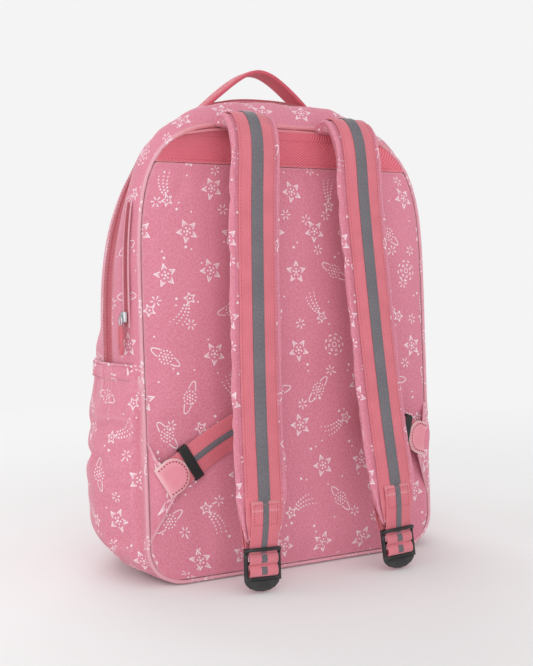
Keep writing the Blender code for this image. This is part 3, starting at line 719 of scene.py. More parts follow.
def stitches(name, runs, material="thread", pitch=0.0031, dash=0.0021, radius=THREAD):
    """Rows of sewn dashes. Each run is (path, outward direction, closed)."""
    points, faces = [], []
    for path, outward, closed in runs:
        for spot, along in even_points(path, pitch, closed):
            facing = outward(spot) if callable(outward) else outward
            side = along.cross(facing).normalized()
            first = len(points)
            middle = spot + facing * radius * 0.6
            for t in (-0.28, 0.28):
                centre = middle + along * dash * t
                for x, y in ((1.25, 0), (0, 1), (-1.25, 0), (0, -1)):
                    points.append(centre + side * x * radius + facing * y * radius)
            points += [spot - along * dash / 2, spot + along * dash / 2]
            for j in range(4):
                n = (j + 1) % 4
                faces.append((first + j, first + n, first + 4 + n, first + 4 + j))
                faces.append((first + 8, first + n, first + j))
                faces.append((first + 9, first + 4 + j, first + 4 + n))
    coords = [(0.0, 0.0)] * sum(len(face) for face in faces)
    return solid(name, (points, faces, coords), material, 80)


def smooth_path(points, per_span=6):
    """Catmull-Rom curve through the points."""
    ends = [2 * points[0] - points[1], *points, 2 * points[-1] - points[-2]]
    path = []
    for i in range(1, len(ends) - 2):
        before, start, stop, after = ends[i - 1 : i + 3]
        for k in range(per_span):
            t = k / per_span
            bend = (2 * before - 5 * start + 4 * stop - after) * t**2
            twist = (3 * start - before - 3 * stop + after) * t**3
            path.append(0.5 * (2 * start + (stop - before) * t + bend + twist))
    path.append(ends[-2])
    return path


def ripple(point, scale, amount, seed=0.0):
    """Smooth random height, the same on each run."""
    return noise.fractal(point * scale + Vector((seed, seed, seed)), 0.9, 2.1, 3) * amount


PUFF_PRESSURE = 4.0


def puff(obj, pinned, slack, cap, frames=20):
    """Cloth simulation of a sheet held at its pinned points. cap(point) limits each point's motion."""
    start = [vert.co.copy() for vert in obj.data.vertices]
    hold = obj.vertex_groups.new(name="held")
    hold.add([i for i, point in enumerate(start) if pinned(point)], 1.0, "REPLACE")
    hidden = list(obj.modifiers)
    for modifier in hidden:
        modifier.show_viewport = False
    cloth = obj.modifiers.new("Cloth", "CLOTH")
    settings = cloth.settings
    settings.quality = 6
    settings.mass = 0.25
    settings.tension_stiffness = settings.compression_stiffness = 12
    settings.shear_stiffness = 6
    settings.bending_stiffness = 0.6
    settings.air_damping = 2
    settings.use_pressure = True
    settings.uniform_pressure_force = PUFF_PRESSURE
    settings.shrink_min = -slack
    settings.vertex_group_mass = hold.name
    settings.effector_weights.gravity = 0
    cloth.collision_settings.use_collision = False
    cloth.point_cache.frame_start, cloth.point_cache.frame_end = 1, frames
    for number in range(1, frames + 1):
        bpy.context.scene.frame_set(number)
    graph = bpy.context.evaluated_depsgraph_get()
    moved = [vert.co.copy() for vert in obj.evaluated_get(graph).data.vertices]
    obj.modifiers.remove(cloth)
    obj.vertex_groups.remove(hold)
    for vert, old, new in zip(obj.data.vertices, start, moved):
        shift = new - old
        vert.co = old + shift * min(1.0, cap(old) / max(shift.length, 1e-9))
    for modifier in hidden:
        modifier.show_viewport = True
    bpy.context.scene.frame_set(1)
    obj.data.update()


# ---------------------------------------------------------------- helpers for the pieces


def place(obj, body, *nodes, smooth=0):
    """Makes a piece move with a body and stand for its CAD nodes."""
    if smooth:
        rounder = obj.modifiers.new("Smooth", "SUBSURF")
        rounder.levels = rounder.render_levels = smooth
    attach(obj, body)
    if nodes:
        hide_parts(*nodes)
    return obj


def grid_uv(rows):
    """Cloth coordinates of a grid, measured along its middle row and middle column."""
    middle = rows[len(rows) // 2]
    u = distances(middle + [middle[0]])
    v = distances([row[len(row) // 2] for row in rows])
    half = u[len(middle) - 1] / 2
    return lambda i, j: (u[j] - half, v[i])


def grid_cloth(name, rows, *settings, **more):
    """Cloth over a grid of points, with its coordinates measured along the grid."""
    return cloth_sheet(name, sheet(rows, grid_uv(rows)), *settings, **more)


def outward_at(point):
    """Direction away from the bag's middle line, square to its depth."""
    return Vector((point.x, 0, point.z - MIDDLE_HEIGHT)).normalized()


def arch_v(t, q, low):
    """v at share t of the arch, which runs from -1 at its left foot to 1 at its right foot."""
    v = 4 - abs(t) * (4 - v_at(low, q))
    return v if t > 0 else -v


def arch_rows(depths, low, columns, out):
    """Rows over the arch, one for each depth. out(t, q, point) lifts each point off the skin."""
    rows = []
    for q in depths:
        row = []
        for t in steps(-1, 1, columns):
            point = skin(arch_v(t, q, low), q)
            row.append(point + outward_at(point) * out(t, q, point))
        rows.append(row)
    return rows


def bars(name, places, size, material):
    """Many small tapered blocks. Each place is (centre, along, across, outward)."""
    points, faces = [], []
    for centre, along, across, outward in places:
        first = len(points)
        for up, wide in ((-0.5, 1.0), (0.5, 0.72)):
            for x, y in ((-0.5, -0.5), (0.5, -0.5), (0.5, 0.5), (-0.5, 0.5)):
                corner = along * x * size[0] * wide + across * y * size[1] * wide
                points.append(centre + corner + outward * up * size[2])
        for face in ((0, 1, 2, 3), (4, 5, 6, 7), (0, 1, 5, 4), (1, 2, 6, 5), (2, 3, 7, 6), (3, 0, 4, 7)):
            faces.append(tuple(first + k for k in face))
    coords = [(0.0, 0.0)] * (4 * len(faces))
    return solid(name, (points, faces, coords), material, 30)


TEETH_SHIFT = 0.0009


def teeth(name, path, outward, shift, body, pitch=0.0021):
    """One row of a zip's teeth, moved sideways from the path."""
    places = []
    for spot, along in even_points(path, pitch):
        facing = outward(spot) if callable(outward) else outward
        across = along.cross(facing).normalized()
        places.append((spot + across * shift + facing * 0.0005, along, across, facing))
    return place(bars(name, places, (0.0013, 0.0024, 0.0014), "teeth"), body)


# ---------------------------------------------------------------- back panel, yoke and piping


def panel_rows(low, high, margin, columns, count, height):
    rows = []
    for z in steps(low, high, count):
        half = panel_half(z, margin)
        row = []
        for k in steps(-1, 1, columns):
            point = Vector((k * half, panel_y(z), z))
            row.append(point - Y * height(k, (z - low) / (high - low), point))
        rows.append(row)
    return rows


def near_anchor(point):
    """1 near the lower anchors and keepers, where the panel has to stay flat."""
    return soft((abs(point.x) - 0.085) / 0.02) * soft((0.165 - point.z) / 0.025)


def panel_height(k, t, point):
    rise = (math.sin(math.pi * clamp(t, 0.004, 0.996)) ** 0.5) * (1 - k**4)
    fold = ripple(point, 16, 0.0014, 2.0) + ripple(Vector((point.x * 2.2, 0, point.z)), 34, 0.0005, 5.0)
    return 0.0026 * rise + fold * rise * (1 - near_anchor(point))


ROLL_REACH, ROLL_TAIL = 0.118, 0.004


def make_back():
    rows = panel_rows(0.0040, BAND_LOW.z + 0.0006, 0.0016, 66, 84, panel_height)
    panel = grid_cloth("back_panel_cloth", rows)
    edge = 0.004

    def held(point):
        wide = abs(point.x) > panel_half(point.z, edge)
        return wide or point.z < 0.0090 or point.z > BAND_LOW.z - edge

    puff(panel, held, 0.012, lambda point: lerp(0.0042, 0.0002, near_anchor(point)))
    place(panel, "bag", "back_panel", smooth=1)

    def yoke_height(k, t, point):
        """Soft crown across the band, with a roll under its top seam and one along its foot."""
        top_roll = 0.0012 * math.exp(-(((t - 0.90) / 0.055) ** 2))
        foot_roll = 0.0010 * math.exp(-(((t - 0.05) / 0.05) ** 2))
        crown = 0.0018 * (1 - k**4) * math.sin(math.pi * clamp(t, 0.02, 0.98)) ** 0.4
        return crown + (top_roll + foot_roll) + ripple(point, 30, 0.0003)

    rows = panel_rows(BAND_LOW.z, PANEL_TOP - 0.0012, 0.0010, 80, 30, yoke_height)
    yoke = grid_cloth("yoke_band_cloth", rows, "twill", 0.0024)
    place(yoke, "bag", "yoke_band", smooth=1)

    runs = []
    for z, lift in ((BAND_HIGH.z - 0.0040, 0.0030), (BAND_LOW.z + 0.0035, 0.0022)):
        half = panel_half(z, 0.006)
        path = []
        for x in steps(-half, half, 40):
            rise = lift * (1 - (x / half) ** 4)
            path.append(Vector((x, panel_y(z) - rise - 0.0003, z)))
        runs.append((path, -Y, False))
    place(stitches("yoke_stitching", runs, "coral_thread", radius=FINE_THREAD), "bag")

    ring = [skin(v, 0) for v in steps(0, 4, 90)[:-1]] + [skin(-v, 0) for v in steps(4, 0, 90)[:-1]]
    ring = [point + Z * (0.0022 * soft((0.02 - point.z) / 0.02)) + Y * 0.0004 for point in ring]
    place(tube("piping_cord", ring, PIPE, "print", closed=True), "bag", "panel_piping")
    crown = [p - Y * 0.0006 for p in ring if p.z > BAND_LOW.z - 0.002]
    crown.sort(key=lambda p: p.x)
    for name, drop, radius in (("outer", 0.0, 0.0020), ("inner", 0.0040, 0.0014)):
        line = []
        for point in crown:
            if abs(point.x) >= ROLL_REACH + ROLL_TAIL:
                continue
            fall = drop * soft((ROLL_REACH - abs(point.x)) / 0.030)
            sink = 0.0024 * (1 - soft((ROLL_REACH + ROLL_TAIL - abs(point.x)) / 0.010))
            x = point.x * (1 - fall / PANEL_HALF)
            line.append(Vector((x, point.y - 0.0010 + sink, point.z - fall)))
        place(tube(f"yoke_{name}_roll", line, radius, "twill"), "bag")


# ---------------------------------------------------------------- gussets and the main zip


def pucker(t, q, edge, amount):
    """Small gathers beside a seam at depth edge."""
    near = math.exp(-abs(q - edge) / 0.13)
    return amount * near * math.sin(t * 95 + 3 * math.sin(t * 17 + q))


def rear_out(t, q, point):
    crown = soft((0.62 - abs(t)) / 0.35)
    folds = ripple(Vector((point.x * 1.6, point.y * 0.5, point.z)), 21, 0.0026, 1.0) * crown
    bulge = 0.0030 * math.sin(math.pi * clamp(q)) * (0.45 + 0.55 * crown)
    quiet = math.sin(math.pi * clamp(q, 0.02, 0.98)) ** 0.5
    folds += ripple(point, 24, 0.0016, 8.0)
    return bulge + folds * quiet + pucker(t, q, 0.98, 0.0005) * quiet


def front_out(t, q, point):
    crown = soft((0.62 - abs(t)) / 0.35)
    quiet = math.sin(math.pi * clamp(q - 2, 0.02, 0.98)) ** 0.5
    folds = ripple(Vector((point.x * 1.4, point.y, point.z)), 19, 0.0026, 4.0) * (0.5 + 0.5 * crown)
    flank = soft((abs(t) - 0.30) / 0.15) * soft((0.92 - abs(t)) / 0.12)
    rise = 0.0026 + 0.0062 * soft((0.30 - abs(t)) / 0.22) - 0.0060 * flank
    return (rise + folds) * quiet + pucker(t, q, 2.02, 0.0005) * quiet


ZIP_RIDGE = 0.0028


def make_gusset():
    low = FOLD_Z - 0.004
    rows = arch_rows(steps(0.03, 1.0, 16), low, 190, rear_out)
    gusset = grid_cloth("rear_gusset_cloth", rows)
    place(gusset, "bag", "rear_gusset", smooth=1)

    def ridge(t, q):
        """Height of the closed zip, which stands up a little where it crosses the crown."""
        return ZIP_RIDGE * soft((0.34 - abs(t)) / 0.24) * soft(1 - abs(q - 1.5) / 0.5)

    def tape_out(t, q, point):
        return 0.0004 + 0.0008 * math.exp(-(((q - 1.5) / 0.12) ** 2)) + ridge(t, q)

    for name, depths, body in (
        ("rear", steps(0.97, 1.49, 7), "bag"), ("front", steps(1.51, 2.03, 7), "front_flap"),
    ):
        rows = arch_rows(depths, FOLD_Z + 0.0005, 170, tape_out)
        tape = grid_cloth(f"main_zip_{name}_tape", rows, "tape", 0.0009)
        place(tape, body, "main_zip_tape_" + name, smooth=1)

    def line(q, lift):
        return arch_rows([q], FOLD_Z + 0.002, 220, lambda t, q, point: lift + ridge(t, q))[0]

    sides = (("rear", -TEETH_SHIFT, 1.14, "bag"), ("front", TEETH_SHIFT, 1.86, "front_flap"))
    for name, shift, _, body in sides:
        teeth(f"main_zip_{name}_teeth", line(1.5, 0.0010), outward_at, shift, body)
    for name, _, seam, body in sides:
        runs = [(line(seam, 0.0012), outward_at, False)]
        place(stitches(f"main_zip_{name}_stitching", runs), body)


def make_sides():
    for word, side in SIDES.items():
        rows = []
        for q in steps(0.03, 2.99, 34):
            top = v_at(FOLD_Z - 0.0005, q)
            row = []
            for v in steps(1.2, top, 44):
                point = skin(side * v, q)
                quiet = soft((v - 1.3) / 0.3) * soft((top - v) / 0.12)
                row.append(point + X * side * (ripple(point, 20, 0.0012, 3.0) - 0.0010) * quiet)
            rows.append(row)
        wall = grid_cloth(word + "_wall_cloth", rows)
        place(wall, "bag", word + "_side_wall")

    rows = [[skin(v, q) for v in steps(-1.24, 1.24, 60)] for q in steps(0.03, 2.99, 40)]
    base = grid_cloth("base_cloth", rows)
    place(base, "bag", "base_panel")


def face_share(shrink):
    """How far the front has bulged out, from 0 at its seam to 1 inside."""
    return 1 - (1 - clamp(shrink / 0.2)) ** 2.6


def front_rows(upper, columns):
    """Rows from the front seam to the fold line, over the rounded front face."""
    fold = FOLD_Z + (0.0005 if upper else -0.0005)
    limit = v_at(fold, 3)
    if upper:
        ring = [skin(arch_v(t, 3, fold), 3) for t in steps(-1, 1, columns)]
    else:
        ring = [skin(limit * t, 3) for t in steps(-1, 1, columns)]
    middle = Vector((0, FRONT_Y, fold))
    rows = []
    for shrink in [0, 0.01, 0.025, 0.045, 0.07, 0.10, 0.14, 0.2] + steps(0.26, 0.97, 13) + [0.9998]:
        row = []
        for point in ring:
            moved = point.lerp(middle, shrink)
            depth = FRONT_Y + FACE_DEPTH * face_share(shrink)
            quiet = clamp(shrink * 5) * soft(abs(moved.z - FOLD_Z) / 0.03)
            folds = ripple(Vector((moved.x, 0, moved.z)), 15, 0.0016, 6.0) * quiet
            row.append(Vector((moved.x, depth + folds, moved.z)))
        rows.append(row)
    return rows


FRONT_COLUMNS = 170


def make_front():
    depths = steps(2.0, 2.97, 14)
    gusset = arch_rows(depths, FOLD_Z + 0.0005, FRONT_COLUMNS, front_out)
    rows = gusset + front_rows(True, FRONT_COLUMNS)
    upper = grid_cloth("front_upper_cloth", rows)
    place(upper, "front_flap", "front_upper_shell", smooth=1)
    rows = front_rows(False, 150)
    lower = grid_cloth("front_lower_cloth", rows)
    place(lower, "bag", "front_lower_shell")

    seam = [skin(arch_v(t, 3, FOLD_Z), 3) + Y * 0.0006 for t in steps(-1, 1, 150)]
    place(tube("front_seam_cord", seam, 0.0014, "plain"), "front_flap")
    limit = v_at(FOLD_Z - 0.002, 3)
    seam = [skin(limit * t, 3) + Y * 0.0006 for t in steps(-1, 1, 150)]
    place(tube("front_lower_seam_cord", seam, 0.0014, "plain"), "bag")


# ---------------------------------------------------------------- pockets


def pocket_point(side, along, z, out=0.0):
    """Point of a side pocket, which bellies out in its middle and gathers under its hem."""
    q = lerp(0.16, 2.86, along)
    base = skin(side * v_at(z, q), q)
    belly = math.sin(math.pi * clamp(along, 0.0, 1.0)) ** 0.7
    rise = math.sin(math.pi * clamp(z / POCKET_TOP)) ** 1.3
    gather = soft((z - 0.10) / (HEM_LOW - 0.10)) ** 2
    wave = math.sin(along * 88 + 2.4 * math.sin(along * 23)) * 0.5 + 0.5
    cuts = 0.0022 * gather * belly * wave
    crease = ripple(Vector((0, q * 0.02, z)), 26, 0.0022, 9.0 + side) * belly * rise
    tuck = 0.0040 * (1 - soft(min(along, 1 - along) / 0.035))
    return base + X * side * (0.0012 + POCKET_BULGE * 0.72 * belly * rise + cuts + crease + out - tuck)


def make_side_pockets():
    for word, side in SIDES.items():
        alongs = steps(0, 1, 74)
        heights = steps(0.012, HEM_LOW + 0.001, 42)
        rows = [[pocket_point(side, a, z) for a in alongs] for z in heights]
        pocket = grid_cloth(word + "_pocket_cloth", rows, offset=1)
        seam = skin_depth(0.25, 0.1), skin_depth(2.75, 0.1)

        def held(point, seam=seam):
            beside = point.y < seam[0] or point.y > seam[1]
            return beside or point.z < 0.020 or point.z > HEM_LOW - 0.006

        puff(pocket, held, 0.05, lambda point: 0.0045)
        place(pocket, "bag", word + "_side_pocket", smooth=1)

        rows = []
        for t in steps(0, 1, 9):
            z, out = lerp(HEM_LOW, POCKET_TOP, t), 0.0012 * math.sin(math.pi * t) ** 0.6
            rows.append([pocket_point(side, a, z, out) for a in steps(0, 1, 150)])
        hem = grid_cloth(word + "_hem_cloth", rows, thickness=0.0022, offset=1)
        place(hem, "bag", word + "_pocket_hem", smooth=1)
        facing = X * side
        runs = []
        for z in (HEM_LOW + 0.0012, POCKET_TOP - 0.0020):
            runs.append(([pocket_point(side, a, z, 0.0032) for a in steps(0.01, 0.99, 120)], facing, False))
        place(stitches(word + "_hem_stitching", runs, "pale_thread"), "bag")

        tacks = []
        for a in (0.032, 0.968):
            for z in steps(POCKET_TOP - 0.008, POCKET_TOP - 0.002, 6):
                tacks.append((pocket_point(side, a, z, 0.0030), Y, Z, facing))
        place(bars(word + "_hem_bartacks", tacks, (0.0036, 0.0008, 0.0008), "coral_thread"), "bag")


def make_side_zip():
    low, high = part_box("side_zip_tape")[0].z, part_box("side_zip_tape")[1].z

    def line(q, out, count=60):
        points = [skin(-v_at(z, q), q) for z in steps(low, high, count)]
        return [point + outward_at(point) * (out + 0.0022) for point in points]

    rows = [line(q, 0.0006) for q in steps(0.27, 0.39, 6)]
    tape = grid_cloth("side_zip_cloth", rows, "tape", 0.0009)
    place(tape, "bag", "side_zip_tape")
    for name, shift in (("rear", -TEETH_SHIFT), ("front", TEETH_SHIFT)):
        teeth("side_zip_teeth_" + name, line(0.33, 0.0010), outward_at, shift, "bag")
    for name, q in (("rear", 0.25), ("front", 0.41)):
        place(tube(f"side_zip_{name}_welt", line(q, 0.0004), 0.0009, "plain"), "bag")
    runs = [(line(q, 0.0010), outward_at, False) for q in (0.20, 0.46)]
    place(stitches("side_zip_stitching", runs, "pale_thread", radius=FINE_THREAD), "bag")


def rounded_ring(half, low, high, y, radius, count):
    """Rounded rectangle facing +Y, as a closed ring."""
    ring, spans = [], ((1, -1, -90), (1, 1, 0), (-1, 1, 90), (-1, -1, 180))
    for sx, sz, start in spans:
        cx = sx * (half - radius)
        cz = (high - radius) if sz > 0 else (low + radius)
        for turn in steps(start, start + 90, 9):
            angle = math.radians(turn)
            ring.append(Vector((cx + radius * math.cos(angle), y, cz + radius * math.sin(angle))))
    path = ring + [ring[0]]
    total = distances(path)
    even, i = [], 0
    for k in range(count):
        at = k * total[-1] / count
        while total[i + 1] < at:
            i += 1
        even.append(path[i].lerp(path[i + 1], (at - total[i]) / max(1e-9, total[i + 1] - total[i])))
    return even


def make_front_pocket(name, body):
    low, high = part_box(name)
    half, depth = high.x, high.y - low.y
    rings = []
    for inset, share in (
        (0.0, 0.0), (-0.0004, 0.18), (-0.0006, 0.38), (0.0, 0.58), (0.0006, 0.74), (0.0022, 0.86),
        (0.0055, 0.94), (0.010, 0.98), (0.018, 1.0), (0.027, 1.0), (0.037, 1.0), (0.047, 1.0), (0.057, 1.0),
    ):
        level, corner = low.y + depth * share, max(0.024 - inset * 0.3, 0.006)
        ring = rounded_ring(half - inset, low.z + inset, high.z - inset, level, corner, 150)
        rings.append([p + Y * ripple(p, 17, 0.0018, 4.0) * soft(share * 1.4 - 0.4) for p in ring])
    centre = Vector((0, high.y, (low.z + high.z) / 2))
    for shrink in (0.25, 0.5, 0.75, 0.94, 0.9998):
        rings.append([p.lerp(centre, shrink) for p in rings[12]])
    arc = distances(rings[4] + [rings[4][0]])

    def uv(i, j):
        if i < 6:
            return arc[j], depth * (i / 6)
        point = rings[i][j % len(rings[i])]
        return point.x, point.z

    pocket = cloth_sheet(name + "_cloth", sheet(rings, uv, wrap=True))
    zip_z = high.z - 0.022

    def held(point):
        flat = point.y < low.y + 0.35 * depth
        return flat or abs(point.z - zip_z) < 0.007

    puff(pocket, held, 0.03, lambda point: 0.0040)
    place(pocket, body, name, smooth=1)

    y = high.y + 0.0009
    reach = half - 0.020

    def line(dz, out):
        return [Vector((x, y + out, zip_z + dz)) for x in steps(-reach, reach, 60)]

    place(strip(name + "_zip_cloth", line(0, 0.0), Z, 0.013, 0.0012, "tape"), body, name + "_zip")
    for word, shift in (("low", -TEETH_SHIFT), ("high", TEETH_SHIFT)):
        teeth(f"{name}_zip_teeth_{word}", line(0, 0.0010), Y, shift, body)
    for word, dz in (("low", -0.0068), ("high", 0.0068)):
        place(tube(f"{name}_{word}_welt", line(dz, 0.0006), 0.0012, "plain"), body)
    runs = [(line(dz, 0.0012), Y, False) for dz in (-0.0092, 0.0092)]
    place(stitches(name + "_zip_stitching", runs), body)
    rim = rounded_ring(half + 0.0012, low.z - 0.0012, high.z + 0.0012, low.y + 0.0006, 0.0252, 220)
    place(tube(name + "_seam_cord", rim, 0.0012, "plain", closed=True), body)


# ---------------------------------------------------------------- shoulder straps

STRAP_WIDTH, STRAP_END_WIDTH, STRAP_THICKNESS = 0.056, 0.032, 0.012
STRAP_X_TOP, STRAP_X_END = 0.0545, 0.0745
WEBBING_WIDTH, WEBBING_THICK = 0.0365, 0.0019
STRIPE_WIDTH, SMALL_STRIPE, SMALL_STRIPE_THICK = 0.0118, 0.0056, 0.0007
TAB_WIDTH, TAB_THICK = 0.028, 0.0016
ADJUSTER_WIDTH, ADJUSTER_THICK = 0.0284, 0.0013
LOWER_WIDTH, LOWER_THICK = 0.030, 0.0015
STRAP_FROM = PANEL_TOP - CROWN_LIFT
STRAP_SHAPE = (
    (-0.0050, 0.4152), (-0.0130, 0.4190), (-0.0230, 0.4175), (-0.0310, 0.4070),
    (-0.0345, 0.388), (-0.0345, 0.350), (-0.0360, 0.300), (-0.0400, 0.220),
    (-0.0450, 0.150), (-0.0520, 0.087), (-0.0555, 0.0462),
)


def strap_path(side, offset=0.0, per_span=12):
    points = []
    for out, z in STRAP_SHAPE:
        x = side * lerp(STRAP_X_TOP, STRAP_X_END, (STRAP_FROM - z) / STRAP_FROM)
        points.append(Vector((x, panel_y(z) + out, z)))
    path = smooth_path(points, per_span)
    moved = []
    for i, point in enumerate(path):
        ahead = path[min(i + 1, len(path) - 1)] - path[max(i - 1, 0)]
        moved.append(point + ahead.cross(X).normalized() * offset)
    return moved


def strap_end(side):
    """Frame at the strap's lower end: X runs down along the strap and Z points outward."""
    path = strap_path(side, per_span=3)
    along = (path[-1] - path[-2]).normalized()
    outward = along.cross(X).normalized()
    matrix = Matrix((along, outward.cross(along), outward)).transposed().to_4x4()
    matrix.translation = path[-1]
    return matrix


UNDERCUT = 0.26


def pad_profile(width, deep):
    """Padded section: rolled, rounded edges, pressed down a little under the webbing."""
    shape = []
    half = width / 2
    for turn in steps(180, -180, 57)[:-1]:
        angle = math.radians(turn)
        c, s = math.cos(angle), math.sin(angle)
        x = half * math.copysign(abs(c) ** 0.55, c)
        y = deep / 2 * math.copysign(abs(s) ** 0.40, s)
        margin = abs(abs(x) - 0.68 * half)
        groove = 0.0011 * math.exp(-((margin / 0.0016) ** 2)) if s > 0 else 0.0
        roll = 0.0005 * math.exp(-(((abs(x) - 0.86 * half) / 0.0030) ** 2)) if s > 0 else 0.0
        under = 1 - UNDERCUT * clamp(0.5 - y / deep) ** 0.8
        shape.append((x * under, y - groove + roll))
    return shape


def make_strap(word, side):
    body = word + "_strap"
    path = strap_path(side)
    path.append(path[-1] + (path[-1] - path[-3]).normalized() * 0.0040)

    def section(t):
        point = path[round(t * (len(path) - 1))]
        taper = clamp((0.086 - point.z) / 0.044)
        width = lerp(STRAP_WIDTH, STRAP_END_WIDTH, taper**1.7)
        deep = STRAP_THICKNESS * lerp(0.5, 1.0, soft(t / 0.06)) * lerp(0.42, 1.0, soft((1 - t) / 0.06))
        return pad_profile(width, deep)

    pad = solid(word + "_pad_cloth", sweep(path, [X] * len(path), section), "print", 60)

    def held(point):
        centre = side * lerp(STRAP_X_TOP, STRAP_X_END, (STRAP_FROM - point.z) / STRAP_FROM)
        return abs(point.x - centre) < 0.0205 or point.z < 0.055 or point.y > -0.105

    puff(pad, held, 0.015, lambda point: 0.0014)
    for vert in pad.data.vertices:
        vert.co += Y * ripple(vert.co, 55, 0.0005, side)
    place(pad, body, word + "_strap_pad", smooth=1)

    lift = STRAP_THICKNESS / 2 + 0.0010
    end_outward = strap_end(side).to_3x3() @ Z

    def sunk(points):
        """Webbing path pressed down with the pad where the pad thins out."""
        return [p - end_outward * (0.0030 * soft((0.064 - p.z) / 0.018)) for p in points]

    over = sunk([p for i, p in enumerate(strap_path(side, lift)) if i > 3])

    def band(t):
        """Webbing section, narrower where the strap meets its lock."""
        z = over[round(t * (len(over) - 1))].z
        width = lerp(STRAP_END_WIDTH - 0.003, WEBBING_WIDTH, soft((z - 0.044) / 0.022))
        return strip_profile(width, WEBBING_THICK)

    cloth = solid(word + "_webbing_cloth", sweep(over, [X] * len(over), band), "webbing", 60)
    place(cloth, body, word + "_strap_webbing")
    over = [p for i, p in enumerate(strap_path(side, lift + 0.0014)) if i > 3 and path[i].z > 0.0775]
    stripe = strip(word + "_stripe_cloth", over, X, STRIPE_WIDTH, 0.0010, "stripe")
    place(stripe, body, word + "_strap_stripe")

    runs = []
    for edge in (-1, 1):
        upper = [p for i, p in enumerate(strap_path(side, lift + 0.0010)) if 6 < i and path[i].z > 0.082]
        runs.append(([p + X * edge * (WEBBING_WIDTH / 2 - 0.0016) for p in upper], -Y, False))
    place(stitches(word + "_strap_stitching", runs, "coral_thread", radius=FINE_THREAD), body)

    margin = [p for i, p in enumerate(strap_path(side, lift - 0.0012)) if 8 < i and path[i].z > 0.095]
    runs = [([p + X * edge * 0.0208 for p in margin], -Y, False) for edge in (-1, 1)]
    place(stitches(word + "_margin_stitching", runs, "pale_thread", radius=FINER_THREAD), body)


def in_frame(matrix, pairs):
    """Points given as (along, out) pairs on a strap end's or anchor's own axes."""
    return [matrix @ Vector((along, 0, out)) for along, out in pairs]


def arc_points(centre, radius, start, stop, count):
    """(x, y) pairs along an arc, with its angles in degrees."""
    angles = [math.radians(a) for a in steps(start, stop, count)]
    return [(centre[0] + radius * math.cos(a), centre[1] + radius * math.sin(a)) for a in angles]


